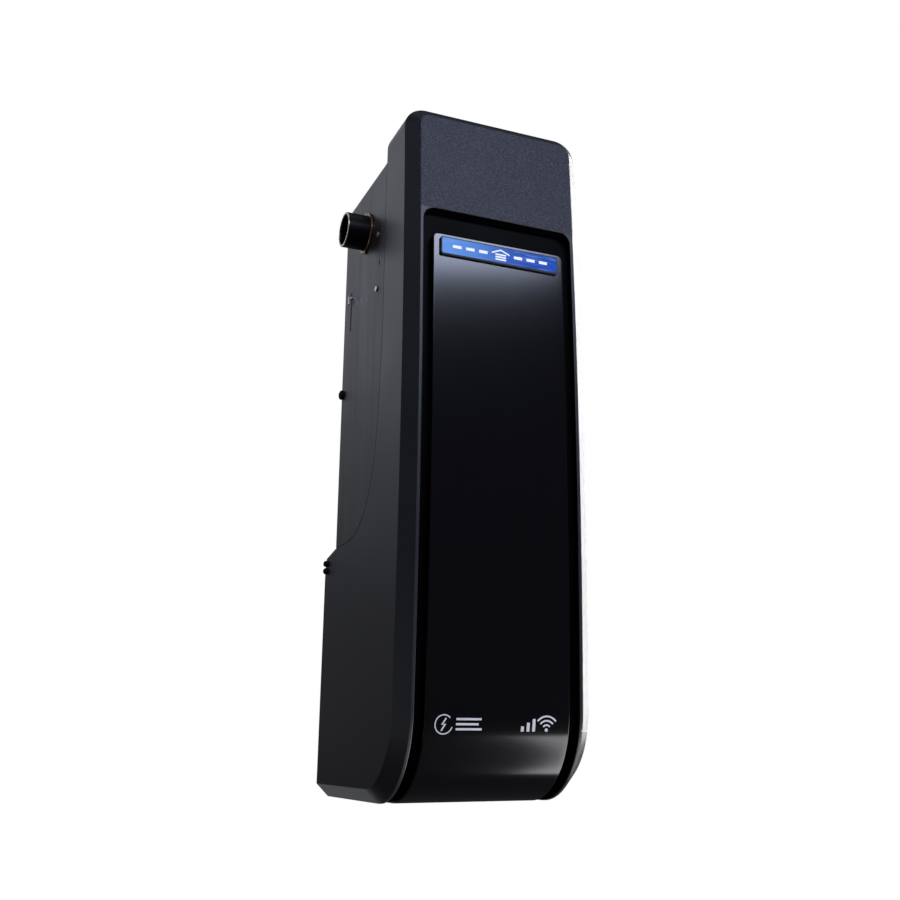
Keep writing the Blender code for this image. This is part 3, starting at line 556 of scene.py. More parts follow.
def shaft_steel():
    """Black oxide tube, rubbed bright on the rims at its two ends."""
    mat = Shader("black_oxide_steel", metallic=0.7)
    lines = mat.noise(1.0, 3.0, 0.6, mat.stretched((1400.0, 120.0, 120.0)))
    # In metres: the last half millimetre of the tube, with a ragged edge
    rim = (mat.width() + (lines - 0.5) * 0.0006).above(0.0962, 0.0966)
    tone = mat.blend(rim, (0.012, 0.012, 0.013), (0.62, 0.56, 0.50))
    return mat.finished(tone, 0.42 + (lines - 0.5) * 0.2 - rim * 0.12, lines, 0.25, 0.00008)


def badge_face(looks):
    """Blue badge face with a painted glow standing in for light, finely brushed from side to side and
    lighter towards the left.
    """
    # The emission strength and emission colour below are a painted glow, not a light inside the badge.
    mat = Shader("badge_blue", IOR=1.45, Specular_IOR_Level=0.12, Emission_Strength=0.55)
    lines = mat.noise(1.0, 3.0, 0.6, mat.stretched((25.0, 400.0, 2600.0)))
    share = (mat.axes()[0] + (lines - 0.5) * 0.012).above(-0.056, 0.03)
    colour = tuple(looks.badge_colour)
    mottle = mat.noise(1.0, 2.0, 0.5, mat.stretched((60.0, 60.0, 500.0)))
    blue = mat.blend(share, (0.105, 0.265, 0.64), colour)
    blue = mat.blend(mottle.above(0.45, 0.8) * 0.35, blue, (0.20, 0.36, 0.72))
    mat.set("Emission Color", blue)
    return mat.finished(blue, 0.38 + (lines - 0.5) * 0.16, lines, 0.15, 0.00004)


def lit_white():
    """Milky white of the badge's marks with a painted glow standing in for light, a little uneven."""
    # The emission below is a painted glow.
    mat = Shader("lit_white", IOR=1.45, Specular_IOR_Level=0.12, Emission_Strength=0.6)
    cloud = mat.noise(420.0, 2.0)
    milk = mat.blend(cloud, (0.70, 0.72, 0.76), (0.86, 0.87, 0.89))
    mat.set("Base Color", milk).set("Emission Color", milk)
    mat.set("Roughness", 0.42 + cloud * 0.1)
    return mat.material


def board_green():
    """Solder mask with paler wavy tracks and a speckle of pads."""
    mat = Shader("circuit_board", IOR=1.5)
    across = mat.waves("Y", 90.0, 6.0)
    pads = 1.0 - mat.cells(260.0, "F1").above(0.10, 0.22)
    tracks = mat.blend(across.above(0.62, 0.75), (0.008, 0.10, 0.035), (0.02, 0.19, 0.07))
    tone = mat.blend(pads, tracks, (0.55, 0.50, 0.40))
    return mat.finished(tone, 0.35 + pads * 0.1, across + pads, 0.3, 0.0001)


def wound(name, colour):
    """Enamelled wire laid in fine even turns."""
    mat = Shader(name, metallic=0.9)
    turns = mat.waves("Z", 900.0, 1.5)
    cloud = mat.noise(60.0, 2.0)
    # The darker bands between the turns are painted shade in the grooves between the wires.
    tone = mat.blend(turns, shade(colour, 0.45), colour)
    return mat.finished(tone, 0.28 + cloud * 0.16, turns, 0.6, 0.0002)


def laminated(name, colour):
    """Stacked sheets with a lacquered edge."""
    mat = Shader(name, metallic=0.5)
    layers = mat.waves("Y", 620.0, 0.6)
    cloud = mat.noise(50.0, 3.0)
    tone = mat.blend(layers, shade(colour, 0.5), colour)
    return mat.finished(tone, 0.5 + (cloud - 0.5) * 0.2, layers, 0.4, 0.0002)


FINISHES = {}


def finishes():
    """Every finish by the record's slot name, made once."""
    if FINISHES:
        return FINISHES
    looks = bpy.context.scene.opener_looks
    FINISHES.update(
        cover_plastic=cover_plastic(looks),
        channel_black=channel_black(),
        gloss_panel=panel_gloss(looks),
        badge_blue=badge_face(looks),
        chassis_paint=painted(looks),
        black_oxide_steel=shaft_steel(),
        bright_steel=metal("bright_steel", (0.62, 0.62, 0.62), 0.28),
        bronze=metal("bronze", (0.42, 0.27, 0.16), 0.36, (300.0,) * 3, (0.20, 0.11, 0.06)),
        cast_alloy=cast("cast_alloy", (0.50, 0.50, 0.52), 0.5),
        copper=wound("copper", (0.72, 0.34, 0.16)),
        ferrite=moulded("ferrite", (0.030, 0.030, 0.032), 0.55, 0.5, 500.0),
        nylon=moulded("nylon", (0.75, 0.74, 0.68), 0.42, 0.2, 700.0, Subsurface_Weight=0.1),
        rubber=moulded("rubber", (0.015, 0.015, 0.016), 0.62, 0.6, 700.0),
        grey_plastic=moulded("grey_plastic", (0.26, 0.26, 0.27), 0.42),
        black_plastic=moulded("black_plastic", (0.016, 0.016, 0.018), 0.45),
        yellow_plastic=moulded("yellow_plastic", (0.75, 0.52, 0.03), 0.36),
        red_plastic=moulded("red_plastic", (0.55, 0.02, 0.02), 0.36),
        white_plastic=moulded("white_plastic", (0.74, 0.74, 0.72), 0.36),
        circuit_board=board_green(),
        laminated_iron=laminated("laminated_iron", (0.10, 0.10, 0.105)),
        print_white=moulded("print_white", (0.80, 0.81, 0.83), 0.4, 0.1),
        lit_white=lit_white(),
        rivet_silver=metal("rivet_silver", (0.90, 0.90, 0.92), 0.34, (200.0,) * 3, (0.74, 0.74, 0.76), 0.1),
    )
    return FINISHES


# Pieces


def front_cover(looks):
    """The cover's skin, from its back edge over the chamfer and the front to the recess floor."""
    sides = side_stations(RECESS)
    soft = looks.edge_radius / MM
    reach = soft * math.tan(math.radians(22.5))
    outer = [(soft + a, CHAMFER + reach + d) for a, d in fillet(soft, 0.0, 45.0)]
    outer += [(CHAMFER + reach + a, soft + d) for a, d in fillet(soft, 45.0, 90.0)]
    rows = [front_point(*ring(cover_edge(inset, sides), closed=False), depth) for inset, depth in outer]
    skirt = np.concatenate((wall_rows(rows[0], cover_edge(0.0, sides)), np.stack(rows)))
    lip, foot = 0.7, 0.8
    shares = np.linspace(0.0, 1.0, 13)[:, None]
    land = zip(ring(cover_edge(CHAMFER + reach, sides)), ring(left_edge(RECESS, lip, sides)))
    land = front_point(*(start * (1.0 - shares) + end * shares for start, end in land), 0.0)
    inner = [(lip + a, lip + d) for a, d in fillet(lip, 90.0, 0.0)]
    inner += [(0.0, RECESS_DEPTH - foot), (-0.25, RECESS_DEPTH - 0.25), (-foot, RECESS_DEPTH)]
    channel = [front_point(*ring(left_edge(RECESS, grow, sides)), depth) for grow, depth in inner]
    floor = front_point(*filled(left_edge(RECESS, -foot, sides)), RECESS_DEPTH)
    grids = [skirt, (land,), (np.stack(channel),), floor]
    cover = surface("cover", grids, "cover_plastic", ["front_cover"], wall=2.2, facing=FORWARD)
    window = prism("window", rounded((4.0, -400.0), (70.0, -300.0), 2.0), X, 60.0, 90.0)
    hatch = prism("hatch", rounded((-49.4, -15.5), (49.4, 58.9), 1.5), Z, BOTTOM_Z - 5.0, BOTTOM_Z + 6.0)
    notch = ((65.6, -110.0), (65.6, -100.3), (75.4, -90.5), (75.4, -76.0), (80.0, -76.0), (80.0, -110.0))
    carve(cover, [window, hatch, prism("parting_groove", notch, Z, -411.0, -409.8)])
    paint_recess_shade(cover)
    cover_back()


def cover_back():
    """Closes the cover's top behind: rows whose half width is the side's, less the corner circle's fall."""
    z = np.linspace(CHASSIS_TOP - 2.4, TOP_Z - 0.5, 30)
    rise = np.clip(z - (TOP_Z - TOP_RADIUS), 0.0, None)
    fall = np.sqrt(np.clip((TOP_RADIUS - 0.3) ** 2 - rise**2, 0.0, None))
    x = (HALF_WIDTH - 0.5 - TOP_RADIUS + fall)[:, None] * np.linspace(-1.0, 1.0, ACROSS + 1)
    rows = points(x, COVER_BACK_Y - 0.25, z[:, None])
    surface("cover_back", [rows], "cover_plastic", wall=2.0, facing=REARWARD)


def paint_recess_shade(cover):
    """Paints shade into the recess with its own near-black finish: faces inside its outline and below the
    front by depth.

    Depth is y less the crown's y above the heel, and the heel's radius less the
    distance from its centre below.
    """
    # The recess's near-black finish is painted shade.
    cover.data.materials.append(finishes()["channel_black"])
    centre = np.empty(len(cover.data.polygons) * 3, np.float32)
    cover.data.polygons.foreach_get("center", centre)
    x, y, z = centre.reshape(-1, 3).T / MM
    crown = CREST_Y + FRONT_RADIUS - np.sqrt(FRONT_RADIUS**2 - (z - CREST_Z) ** 2)
    heel = HEEL_RADIUS - np.hypot(y - HEEL_Y, z - HEEL_Z)
    depth = np.where(z > HEEL_Z, y - crown, np.where(y < HEEL_Y, heel, z - BOTTOM_Z))
    recess = (np.abs(x) < RECESS["half"] + 0.1) & (z < TOP_Z - RECESS["top"] + 0.1)
    recess &= (depth > 0.45) & (depth < RECESS_DEPTH + 0.5) & (y < -19.9)
    cover.data.polygons.foreach_set("material_index", recess.astype(np.int32))
    cover.data.update()


def seam_curve(steps):
    """The seam's cubic curve from its four corners, each weighed by its share."""
    share = np.linspace(0.0, 1.0, steps)[:, None]
    rest = 1.0 - share
    weights = rest**3, 3 * rest**2 * share, 3 * rest * share**2, share**3
    return sum(weight * corner for weight, corner in zip(weights, np.asarray(SEAM)))


def wall_rows(front, edge, steps=6, rim=0.35):
    """Rows from the casing's back edge to the chamfer, along straight lines.

    The side walls end on the back outline, found by its length; the top ends on
    a straight edge. The last strip turns in a little, so that the seam shows.
    """
    x, q = ring(edge, closed=False)
    foot_z, shoulder_z, seam_top_q = -449.0, 54.0, 172.0
    seam = seam_curve(48)[::-1]
    outline = np.concatenate((((BACK_Y, foot_z),), STEP[::-1], seam, ((COVER_BACK_Y, shoulder_z),)))
    length = np.concatenate(([0.0], np.cumsum(np.hypot(*np.diff(outline, axis=0).T))))
    ends = [0.0, length[2], length[4], length[-2], length[-1]]
    along = np.interp(-q, [-BACK_Q, -UNDER_Q, -HEEL_Q, -seam_top_q, -TOP_RADIUS], ends)
    side = np.abs(x) > HALF_WIDTH - 0.001
    back = front.copy()
    back[:, 1] = COVER_BACK_Y
    for axis in (Y, Z):
        back[side, axis] = np.interp(along, length, outline[:, axis - 1])[side]
    reach = np.linalg.norm(front - back, axis=1, keepdims=True)
    step = np.minimum(0.2, rim / np.maximum(reach, 0.01))
    shares = [0.0 * step, step]
    shares += [2.0 * step + (1.0 - 2.0 * step) * part for part in np.linspace(0.0, 1.0, steps)[:-1]]
    rows = [back * (1.0 - share) + front * share for share in shares]
    rows[0][:, 0] -= np.where(side, np.sign(x) * rim * 0.7, 0.0)
    return np.stack(rows)


def gloss_panel():
    """The panel: a slab on the front's layout, whose edge is a quarter circle."""
    edge = 0.9
    turn = np.radians(np.linspace(0, 90, 6))
    profile = [(math.sin(t) * edge - edge, edge - math.cos(t) * edge) for t in turn]
    profile += [(0.0, RECESS_DEPTH - 0.5)]
    pad("panel", front_point, PANEL, profile, "gloss_panel", ["gloss_panel"], side_stations(PANEL))


def stroke(name, x_low, x_high, q_low, q_high, radius, depth, thick, finish):
    """A small raised mark on the front."""
    middle = (x_low + x_high) / 2.0
    shape = slab_shape((x_high - x_low) / 2.0, q_low, q_high, radius)
    profile = [(-0.06, depth - thick), (0.0, depth - thick + 0.06), (0.0, depth)]
    pad(name, lambda x, q, d: front_point(x + middle, q, d), shape, profile, finish, slot="")


def strip(name, x, q, depth, thick, finish, slot):
    """A raised line on the front between two rows of points, closed all round."""
    top, low = front_point(x, q, depth - thick), front_point(x, q, depth)
    rims = [np.stack([top[row], low[row]]) for row in (0, 1)]
    ends = [np.stack([top[:, column], low[:, column]]) for column in (0, -1)]
    surface(name, [top, low, *rims, *ends], finish, slot=slot)


def ribbon(name, x, q, width):
    """A printed line of even width: its path, moved to either side along its own normal."""
    x, q = np.asarray(x, float), np.asarray(q, float)
    along = np.stack([np.gradient(x), np.gradient(q)])
    along /= np.linalg.norm(along, axis=0)
    sideways = np.array([-1.0, 1.0])[:, None] * width / 2.0
    strip(name, x - along[1] * sideways, q + along[0] * sideways, *PRINTED, "white_plastic")


def badge():
    """Plate on the panel's top with a garage pictogram between two rows of bars.

    The roof over the slats is a chevron: its q rises with the distance from the middle.
    """
    plate = [(-0.45, -2.45), (-0.2, -2.38), (0.0, -2.1), (0.0, -0.3)]
    face = [(-0.1, -2.55), (0.0, -2.5), (0.0, -2.4)]
    shape = slab_shape(50.3, 117.0, 132.0, 1.6)
    pad("badge_plate", front_point, shape, plate, "black_plastic", ["badge"], slot="badge_blue")
    pad("badge_foil", front_point, slab_shape(49.3, 118.0, 131.0, 1.0), face, "badge_blue")
    for side, word in SIDES:
        for number in range(3):
            x = side * (15.0 + 11.0 * number)
            stroke(f"bar_{word}_{number}", x - 3.6, x + 3.6, 123.3, 125.7, 0.5, *PAINTED_GLOW)
    for number, q in enumerate((123.6, 125.7, 127.8)):
        stroke(f"door_slat_{number}", -4.6, 4.6, q, q + 1.3, 0.3, *PAINTED_GLOW)
    share = np.linspace(-1.0, 1.0, 41)
    q = 119.6 + np.abs(share) * 3.2 + np.array([0.0, 1.25])[:, None]
    strip("roof_mark", np.tile(share * 7.6, (2, 1)), q, *PAINTED_GLOW, "badge_blue")


def icons():
    """Printed marks low on the panel: a battery with a bolt, and signal arcs over a dot."""
    x, q = -41.5, HEEL_Q + 8.6
    turn = np.radians(np.linspace(0.0, 360.0, 49))[2:-6]
    ribbon("battery_circle", x + 6.4 * np.cos(turn), q + 6.4 * np.sin(turn), 0.8)
    bolt = np.array(((1.6, -4.2), (-1.4, 0.2), (1.2, -0.4), (-1.6, 4.2)))
    ribbon("battery_bolt", x + bolt[:, 0], q + bolt[:, 1], 1.1)
    for number, (x_high, drop) in enumerate(((-13.5, 4.2), (-15.5, 7.6), (-13.0, 11.0))):
        q = HEEL_Q + drop
        stroke(f"battery_line_{number}", -32.5, x_high, q, q + 1.5, 0.3, *PRINTED)
    x, q = 37.0, HEEL_Q + 12.0
    turn = np.radians(np.linspace(-140.0, -40.0, 25))
    for number, radius in enumerate((3.4, 6.4, 9.4)):
        ribbon(f"signal_arc_{number}", x + radius * np.cos(turn), q + radius * np.sin(turn), 1.2)
    stroke("signal_dot", x - 1.2, x + 1.2, q - 1.2, q + 1.2, 1.1, *PRINTED)
    for number, x in enumerate((17.0, 21.4, 25.8)):
        top = HEEL_Q + 9.6 - 2.6 * number
        stroke(f"signal_step_{number}", x, x + 2.4, top, HEEL_Q + 13.2, 0.4, *PRINTED)


def chassis(looks):
    """Folded steel box: two sides and a back with round bends, a top, and a plate down the back."""
    bend = looks.bend_radius / MM
    front = COVER_BACK_Y + SEAM_GAP
    seam = seam_curve(40) + SEAM_GAP
    heights = np.concatenate((np.linspace(CHASSIS_TOP - bend, -99.0, 12), seam[:, 1]))
    fronts = np.concatenate((np.full(12, front), seam[:, 0]))
    turn = np.radians(np.linspace(0.0, 90.0, 7))
    back_x = np.linspace(-64.6, 64.6, 15)

    def plan(front_y, inset, height):
        """Outline from the left front edge round the back to the right front edge."""
        side_y = front_y + (CHASSIS_BACK - bend - front_y) * np.linspace(0.0, 1.0, 12)[:-1]
        bend_x = -(HALF_WIDTH - bend) - (bend - inset) * np.cos(turn)
        bend_y = CHASSIS_BACK - bend + (bend - inset) * np.sin(turn)
        left_x = np.concatenate((np.full(11, -HALF_WIDTH + inset), bend_x))
        left_y = np.concatenate((side_y, bend_y))
        x = np.concatenate((left_x, back_x, -left_x[::-1]))
        y = np.concatenate((left_y, np.full(15, CHASSIS_BACK - inset), left_y[::-1]))
        return points(x, y, height)

    rows = []
    for angle in turn[::-1]:
        height = CHASSIS_TOP - bend + bend * math.sin(angle)
        rows.append(plan(front, bend * (1.0 - math.cos(angle)), height))
    left, back_row = rows[0][:18, :, None], rows[0][17:34, 0]
    lid = points(-left[:, 0] * (back_row / abs(back_row[0])), left[:, 1], left[:, 2])
    rows += [plan(front_y, 0.0, height) for height, front_y in zip(heights[1:], fronts[1:])]
    plate = points(back_x, CHASSIS_BACK, np.linspace(heights[-1], -440.0, 10)[:, None])
    grids = [np.stack(rows), lid, plate]
    box = surface("chassis_box", grids, "chassis_paint", ["chassis"], wall=2.0, facing=REARWARD)
    cutters = [
        prism("shaft_hole", disc((0.0, 0.0), 16.6, 40), X, -90.0, 90.0),
        prism("vents", rounded((-37.9, -45.0), (-36.1, -39.5), 0.8), X, -90.0, 90.0),
        prism("release_slot", rounded((37.6, -76.2), (40.4, -39.8), 1.3), X, -90.0, -60.0),
    ]
    for number, centre in enumerate(((-45.0, -60.0), (45.0, -60.0), (-45.0, -200.0), (45.0, -200.0))):
        cutters.append(prism(f"wall_hole_{number}", disc(centre, 2.5), Y, 50.0, 70.0))
    notches = ((-60.0, -49.0), (-108.0, -99.0), (-236.0, -226.0), (-250.0, -243.0))
    for number, (low, high) in enumerate(notches):
        outline = ((58.2, low), (64.0, low), (64.0, high), (58.2, high))
        cutters.append(prism(f"notch_{number}", outline, X, -90.0, -74.9))
    carve(box, cutters)


def shaft_and_bushings():
    """The hollow drive tube, and a flanged sleeve with two ears at each end of it."""
    half, bore, out, edge = 97.0, 13.0, 15.0, 0.6
    profile = [(bore, -half + edge), (bore + edge * 0.5, -half), (out - edge, -half)]
    profile += [(out - 0.15, -half + 0.18), (out, -half + edge)]
    profile += [(radius, -along) for radius, along in profile[::-1]]
    finish, nodes = "black_oxide_steel", ["output_shaft"]
    turned("drive_tube", X, (0.0, 0.0), profile, finish, nodes, 96, tube=True, body="output")
    sleeve = [(15.3, -6.0), (16.3, -6.0), (16.3, 0.3), (17.4, 0.3), (17.6, 0.5), (17.6, 1.75)]
    sleeve += [(17.35, 2.0), (15.55, 2.0), (15.3, 1.75)]
    ear = [(0.001, 0.35), (1.4, 0.35), (1.6, 0.55), (1.6, 1.7), (1.35, 1.95), (0.001, 1.98)]
    for side, word in SIDES:
        face = side * HALF_WIDTH
        flange = [(radius, face + side * along) for radius, along in sleeve]
        nodes = [f"{word}_bushing"]
        turned(f"{word}_flange", X, (0.0, 0.0), flange, "bronze", nodes, 80, tube=True)
        lobe = [(radius, face + side * along) for radius, along in ear]
        for number, z in enumerate((-17.7, 17.7)):
            turned(f"{word}_ear_{number}", X, (0.0, z), lobe, "bronze", steps=24)


def rear_housing():
    """Shelf and back wall in one sheet, with shallow grooves over the wall's upper part.

    A groove's depth is half of one less the cosine of the height over its pitch.
    """
    half, corner, foot = 74.05, 63.95, BOTTOM_Z + 2.2
    rim = np.concatenate(([half, half - 0.35], np.linspace(72.0, corner, 4)))
    x = np.concatenate((-rim, np.linspace(-corner, corner, 61)[1:-1], rim[::-1]))
    shelf = np.array([(60.4, -263.57), (70.0, -265.3), (80.0, -267.1), (84.2, -267.86)])
    bend = np.linspace(math.radians(10.2), math.pi / 2.0, 7)
    arc = np.stack([BACK_Y - 3.0 + 3.0 * np.sin(bend), -270.95 + 3.0 * np.cos(bend)], axis=-1)
    down = np.stack([np.full(90, BACK_Y), np.linspace(-275.0, foot, 90)], axis=-1)
    profile = np.concatenate((shelf, arc, down))
    z = np.maximum(profile[:, 1:], foot + np.clip(np.abs(x) - corner, 0.0, None))
    high, low, side, pitch, deep = -282.0, -322.0, 46.0, 5.0, 1.1
    wave = 0.5 - 0.5 * np.cos((z - high) / pitch * 2.0 * math.pi)
    groove = (z < high) & (z > low) & (np.abs(x) < side)
    grid = points(x, profile[:, :1] - np.where(groove, deep * wave, 0.0), z)
    grid[:, [0, -1], 1] -= 0.3
    nodes = ["rear_housing"]
    back = surface("rear_shell", [grid], "cover_plastic", nodes, wall=2.3, facing=REARWARD)
    gland = (25.0, 74.0)
    carve(back, [prism("gland_hole", disc(gland, 6.9), Z, -290.0, -250.0)])
    profile = [(3.6, -280.0), (6.3, -280.0), (6.5, -279.6), (6.5, -262.6), (8.7, -262.6), (9.0, -262.2)]
    profile += [(9.0, -259.3), (8.6, -258.6), (7.9, -257.2), (7.4, -257.0), (7.2, -255.6), (6.7, -255.4)]
    profile += [(6.3, -252.6), (5.8, -252.0), (4.0, -252.0), (3.6, -252.5)]
    turned("gland", Z, gland, profile, "rubber", ["cord_gland"], tube=True)


def battery_door():
    """Door in the underside: a rounded slab with six pressed ribs and a finger scoop."""
    middle_y = (58.5 - 15.1) / 2.0
    shape = slab_shape(49.0, -36.8, 36.8, 1.2)

    def ribs(x, q):
        """Cosine ribs under a flat-topped window, and the product of two parabolas for the scoop."""
        across = np.clip((38.0 - np.abs(x)) / 3.0, 0.0, 1.0)
        down = np.clip((16.0 - np.abs(q + 12.0)) / 2.0, 0.0, 1.0)
        scoop = np.clip(1.0 - (x / 13.0) ** 2, 0.0, 1.0) * np.clip(1.0 - ((q - 31.0) / 4.0) ** 2, 0.0, 1.0)
        return 0.5 * across * down * (0.5 - 0.5 * np.cos(q / 5.0 * 2.0 * math.pi)) + 1.5 * scoop

    profile = [(-0.5, 0.0), (-0.15, 0.12), (0.0, 0.45), (0.0, 2.5)]
    sides = np.linspace(shape["bottom"] - 1.2, shape["top"] + 1.2, 90)
    wrap = lambda x, q, depth: points(x, middle_y - q, BOTTOM_Z + depth)
    nodes = ["battery_door"]
    pad("door", wrap, shape, profile, "cover_plastic", nodes, sides, ribs, body="battery_door")


def controls():
    """Caps of the four buttons, dished by a bell curve, and the four levers, hollowed by a square."""
    dish = lambda x, q: 0.5 * np.exp(-(x**2 + q**2) / 5.0)
    slope = lambda x, q: 0.35 * np.clip(q / 2.6 + 1.0, 0.0, 2.0) ** 2 / 4.0
    cap = [(-0.8, 0.0), (-0.35, 0.12), (-0.1, 0.4), (0.0, 0.9), (0.0, 6.0)]
    cap += [(1.5, 6.0), (1.5, 7.4), (0.0, 7.4), (0.0, 9.4)]
    lever = [(-0.5, 0.0), (-0.15, 0.1), (0.0, 0.5), (0.0, 7.4)]
    button_shape, lever_shape = slab_shape(4.0, -4.0, 4.0, 1.2), slab_shape(3.1, -2.6, 2.6, 0.6)
    buttons = np.linspace(2.8, -2.8, 17), dish
    levers = np.linspace(2.0, -2.0, 13), slope
    words = ("adjust", "up", "down", "learn")
    slots = ("black_plastic", "grey_plastic", "grey_plastic", "yellow_plastic")
    for word, slot, y in zip(words, slots, (10.0, 22.5, 35.0, 47.5)):
        name, wrap = f"{word}_button", side_plane(71.0, y, -312.0)
        pad(f"{word}_cap", wrap, button_shape, cap, slot, [name], *buttons, body=name)
    slots = ("red_plastic", "white_plastic", "white_plastic", "grey_plastic")
    for number, (slot, y) in enumerate(zip(slots, (10.5, 23.0, 35.5, 48.0)), start=1):
        nodes, wrap = [f"terminal_tab_{number}"], side_plane(72.0, y, -364.0)
        pad(f"lever_{number}", wrap, lever_shape, lever, slot, nodes, *levers, body=f"tab_{number}")


def side_plane(plane_x, middle_y, middle_z):
    """Wraps a flat layout onto a plane that looks along +X."""
    return lambda x, q, depth: points(plane_x - depth, x + middle_y, middle_z - q)


def fasteners():
    """Domed rivets, and screws whose heads have a round socket."""
    spots = []
    for side, word in SIDES:
        for row, z in (("upper", -15.0), ("lower", -64.0)):
            spots.append((f"rivet_{word}_{row}", side, -32.0, z, 2.4, 0.9, False))
        spots.append((f"bracket_screw_{word}", side, 54.5, -130.0, 4.2, 3.4, True))
        for row, z in (("upper", -273.0), ("lower", -279.2)):
            spots.append((f"cover_screw_{word}_{row}", side, 81.5, z, 2.7, 3.4, True))
    turn = np.radians(np.linspace(0.0, 78.0, 9))
    for node, side, y, z, head, height, screw in spots:
        rim = 0.35 if screw else 0.75
        profile = [(0.001, -2.0), (head * 0.5, -2.0), (head * 0.5, 0.0), (head - 0.12, 0.0), (head, 0.12)]
        profile += [(head * math.cos(t), height * (rim + (1.0 - rim) * math.sin(t))) for t in turn]
        if screw:
            socket = [(head * 0.48, height * 0.92), (head * 0.46, height * 0.35), (0.001, height * 0.3)]
            profile, finish, slot = profile[:-3] + socket, "black_oxide_steel", "black_oxide_steel"
        else:
            profile, finish, slot = profile + [(0.001, height)], "rivet_silver", "bright_steel"
        profile = [(radius, side * (HALF_WIDTH + 0.3) + side * along) for radius, along in profile]
        name = node.replace("rivet", "stud").replace("screw", "bolt")
        turned(name, X, (y, z), profile, finish, [node], 32, slot=slot)


def inside():
    """Gives every CAD node that is still shown its finish, from the record's slots."""
    for part in frame["record"]["subparts"]:
        node = frame["nodes"][part["node"]]
        node.data.materials.clear()
        node.data.materials.append(finishes()[part["material_slot"]])
        node.data.shade_smooth()
        node.data.set_sharp_from_angle(angle=math.radians(30.0))


# Stage

WHITE = (1.0, 1.0, 1.0, 1.0)
FLOOR_Z = -1.5
FLOOR_SIDES = 96
AIM = Vector((0.0, 0.0, -0.19))

# Light cards: direction from the object and roll in degrees, distance and size in metres,
# watts, colour. Azimuth is measured from -Y towards +X, and roll lifts the card's +X side.
CARDS = (
    ("key_front", 7.2, 31.8, 8.0, 2.2, 1.47, 0.34, 22.6, (0.67, 0.75, 1.0)),
    ("side_high", 203.0, 35.5, 0.0, 2.4, 2.0, 1.47, 6.9, (0.85, 0.88, 1.0)),
    ("side_middle", 203.0, 13.2, 0.0, 2.4, 2.0, 0.44, 0.82, (0.85, 0.88, 1.0)),
    ("side_low", 203.0, 0.0, 0.0, 2.4, 2.0, 0.67, 0.3, (0.85, 0.88, 1.0)),
    ("under_back", 179.6, -24.4, 0.0, 2.09, 1.0, 0.5, 0.8, (0.92, 0.94, 1.0)),
    ("fill_left", 266.0, -14.0, 0.0, 2.4, 1.4, 1.0, 4.5, (0.92, 0.94, 1.0)),
    ("fill_top", 0.0, 80.0, 0.0, 2.4, 1.2, 1.2, 3.5, (0.92, 0.94, 1.0)),
    ("left_faint", 290.0, 36.0, 0.0, 2.2, 0.8, 0.8, 0.8, (0.85, 0.88, 1.0)),
    ("rim_right", 116.0, 14.0, 0.0, 2.2, 0.6, 2.1, 44.0, (1.0, 1.0, 1.0)),
    ("low_right", 66.4, -37.5, -36.5, 1.76, 1.5, 1.37, 33.0, (0.95, 0.95, 1.0)),
)


def stage(looks):
    """Camera, pale floor and background, and soft light cards round the object."""
    scene = bpy.context.scene
    camera = bpy.data.objects.new("camera", bpy.data.cameras.new("camera"))
    camera.location = (-0.3302, -0.824, -0.4186)
    camera.rotation_euler = (math.radians(107.098), 0.0, math.radians(-23.604))
    camera.data.lens, camera.data.sensor_width = 43.8, 36.0
    camera.data.shift_x, camera.data.shift_y = -0.0333, -0.0489
    camera.data.clip_start, camera.data.clip_end = 0.01, 60.0
    scene.collection.objects.link(camera)
    scene.camera = camera
    scene.view_settings.view_transform = "Standard"
    scene.cycles.max_bounces = 8
    background(looks.ambient)
    white_floor()
    for name, azimuth, elevation, roll, distance, width, height, power, colour in CARDS:
        angles = azimuth, elevation, roll
        light_card(name, angles, distance, (width, height), power * looks.light, colour)


def background(ambient):
    """White to the camera, and a faint even light to everything else."""
    world = bpy.data.worlds.new("studio")
    bpy.context.scene.world = world
    world.use_nodes = True
    nodes, links = world.node_tree.nodes, world.node_tree.links
    path = nodes.new("ShaderNodeLightPath")
    tone = nodes.new("ShaderNodeMix")
    tone.data_type = "RGBA"
    tone.inputs[6].default_value = (ambient, ambient, ambient * 1.08, 1.0)
    tone.inputs[7].default_value = WHITE
    links.new(path.outputs["Is Camera Ray"], tone.inputs[0])
    links.new(tone.outputs[2], nodes["Background"].inputs["Color"])


def white_floor():
    """A round floor: rings of points at four distances."""
    mat = Shader("pale_floor", 0.9)
    mat.set("Base Color", mat.blend(mat.noise(3.0), (0.9, 0.9, 0.9), (0.95, 0.95, 0.95)))
    mat.set("Emission Color", WHITE).set("Emission Strength", 1.0)
    mat.material.cycles.emission_sampling = "NONE"
    turn = np.linspace(0.0, 2.0 * math.pi, FLOOR_SIDES, endpoint=False)
    reach = np.array([0.0, 1.0, 4.0, 12.0])[:, None]
    rings = points(reach * np.cos(turn), reach * np.sin(turn), FLOOR_Z).reshape(-1, 3)
    mesh = bpy.data.meshes.new("floor")
    mesh.from_pydata(rings.tolist(), [], grid_faces(len(reach), FLOOR_SIDES, 0, True).tolist())
    mesh.materials.append(mat.material)
    floor = bpy.data.objects.new("floor", mesh)
    bpy.context.scene.collection.objects.link(floor)
    floor.visible_glossy = floor.visible_diffuse = floor.visible_shadow = False


def light_card(name, angles, distance, size, power, colour):
    """A soft rectangular light that looks at the middle of the opener."""
    turn, rise, roll = (math.radians(angle) for angle in angles)
    away = Vector((math.sin(turn) * math.cos(rise), -math.cos(turn) * math.cos(rise), math.sin(rise)))
    light = bpy.data.lights.new(name, "AREA")
    light.shape = "RECTANGLE"
    light.size, light.size_y = size
    light.energy, light.color = power, colour
    card = bpy.data.objects.new(name, light)
    place = Matrix.Translation(AIM + away * distance)
    for angle, axis in ((turn, "Z"), (math.pi / 2.0 - rise, "X"), (roll, "Z")):
        place = place @ Matrix.Rotation(angle, 4, axis)
    card.matrix_world = place
    card.visible_camera = False
    bpy.context.scene.collection.objects.link(card)


# Add-on

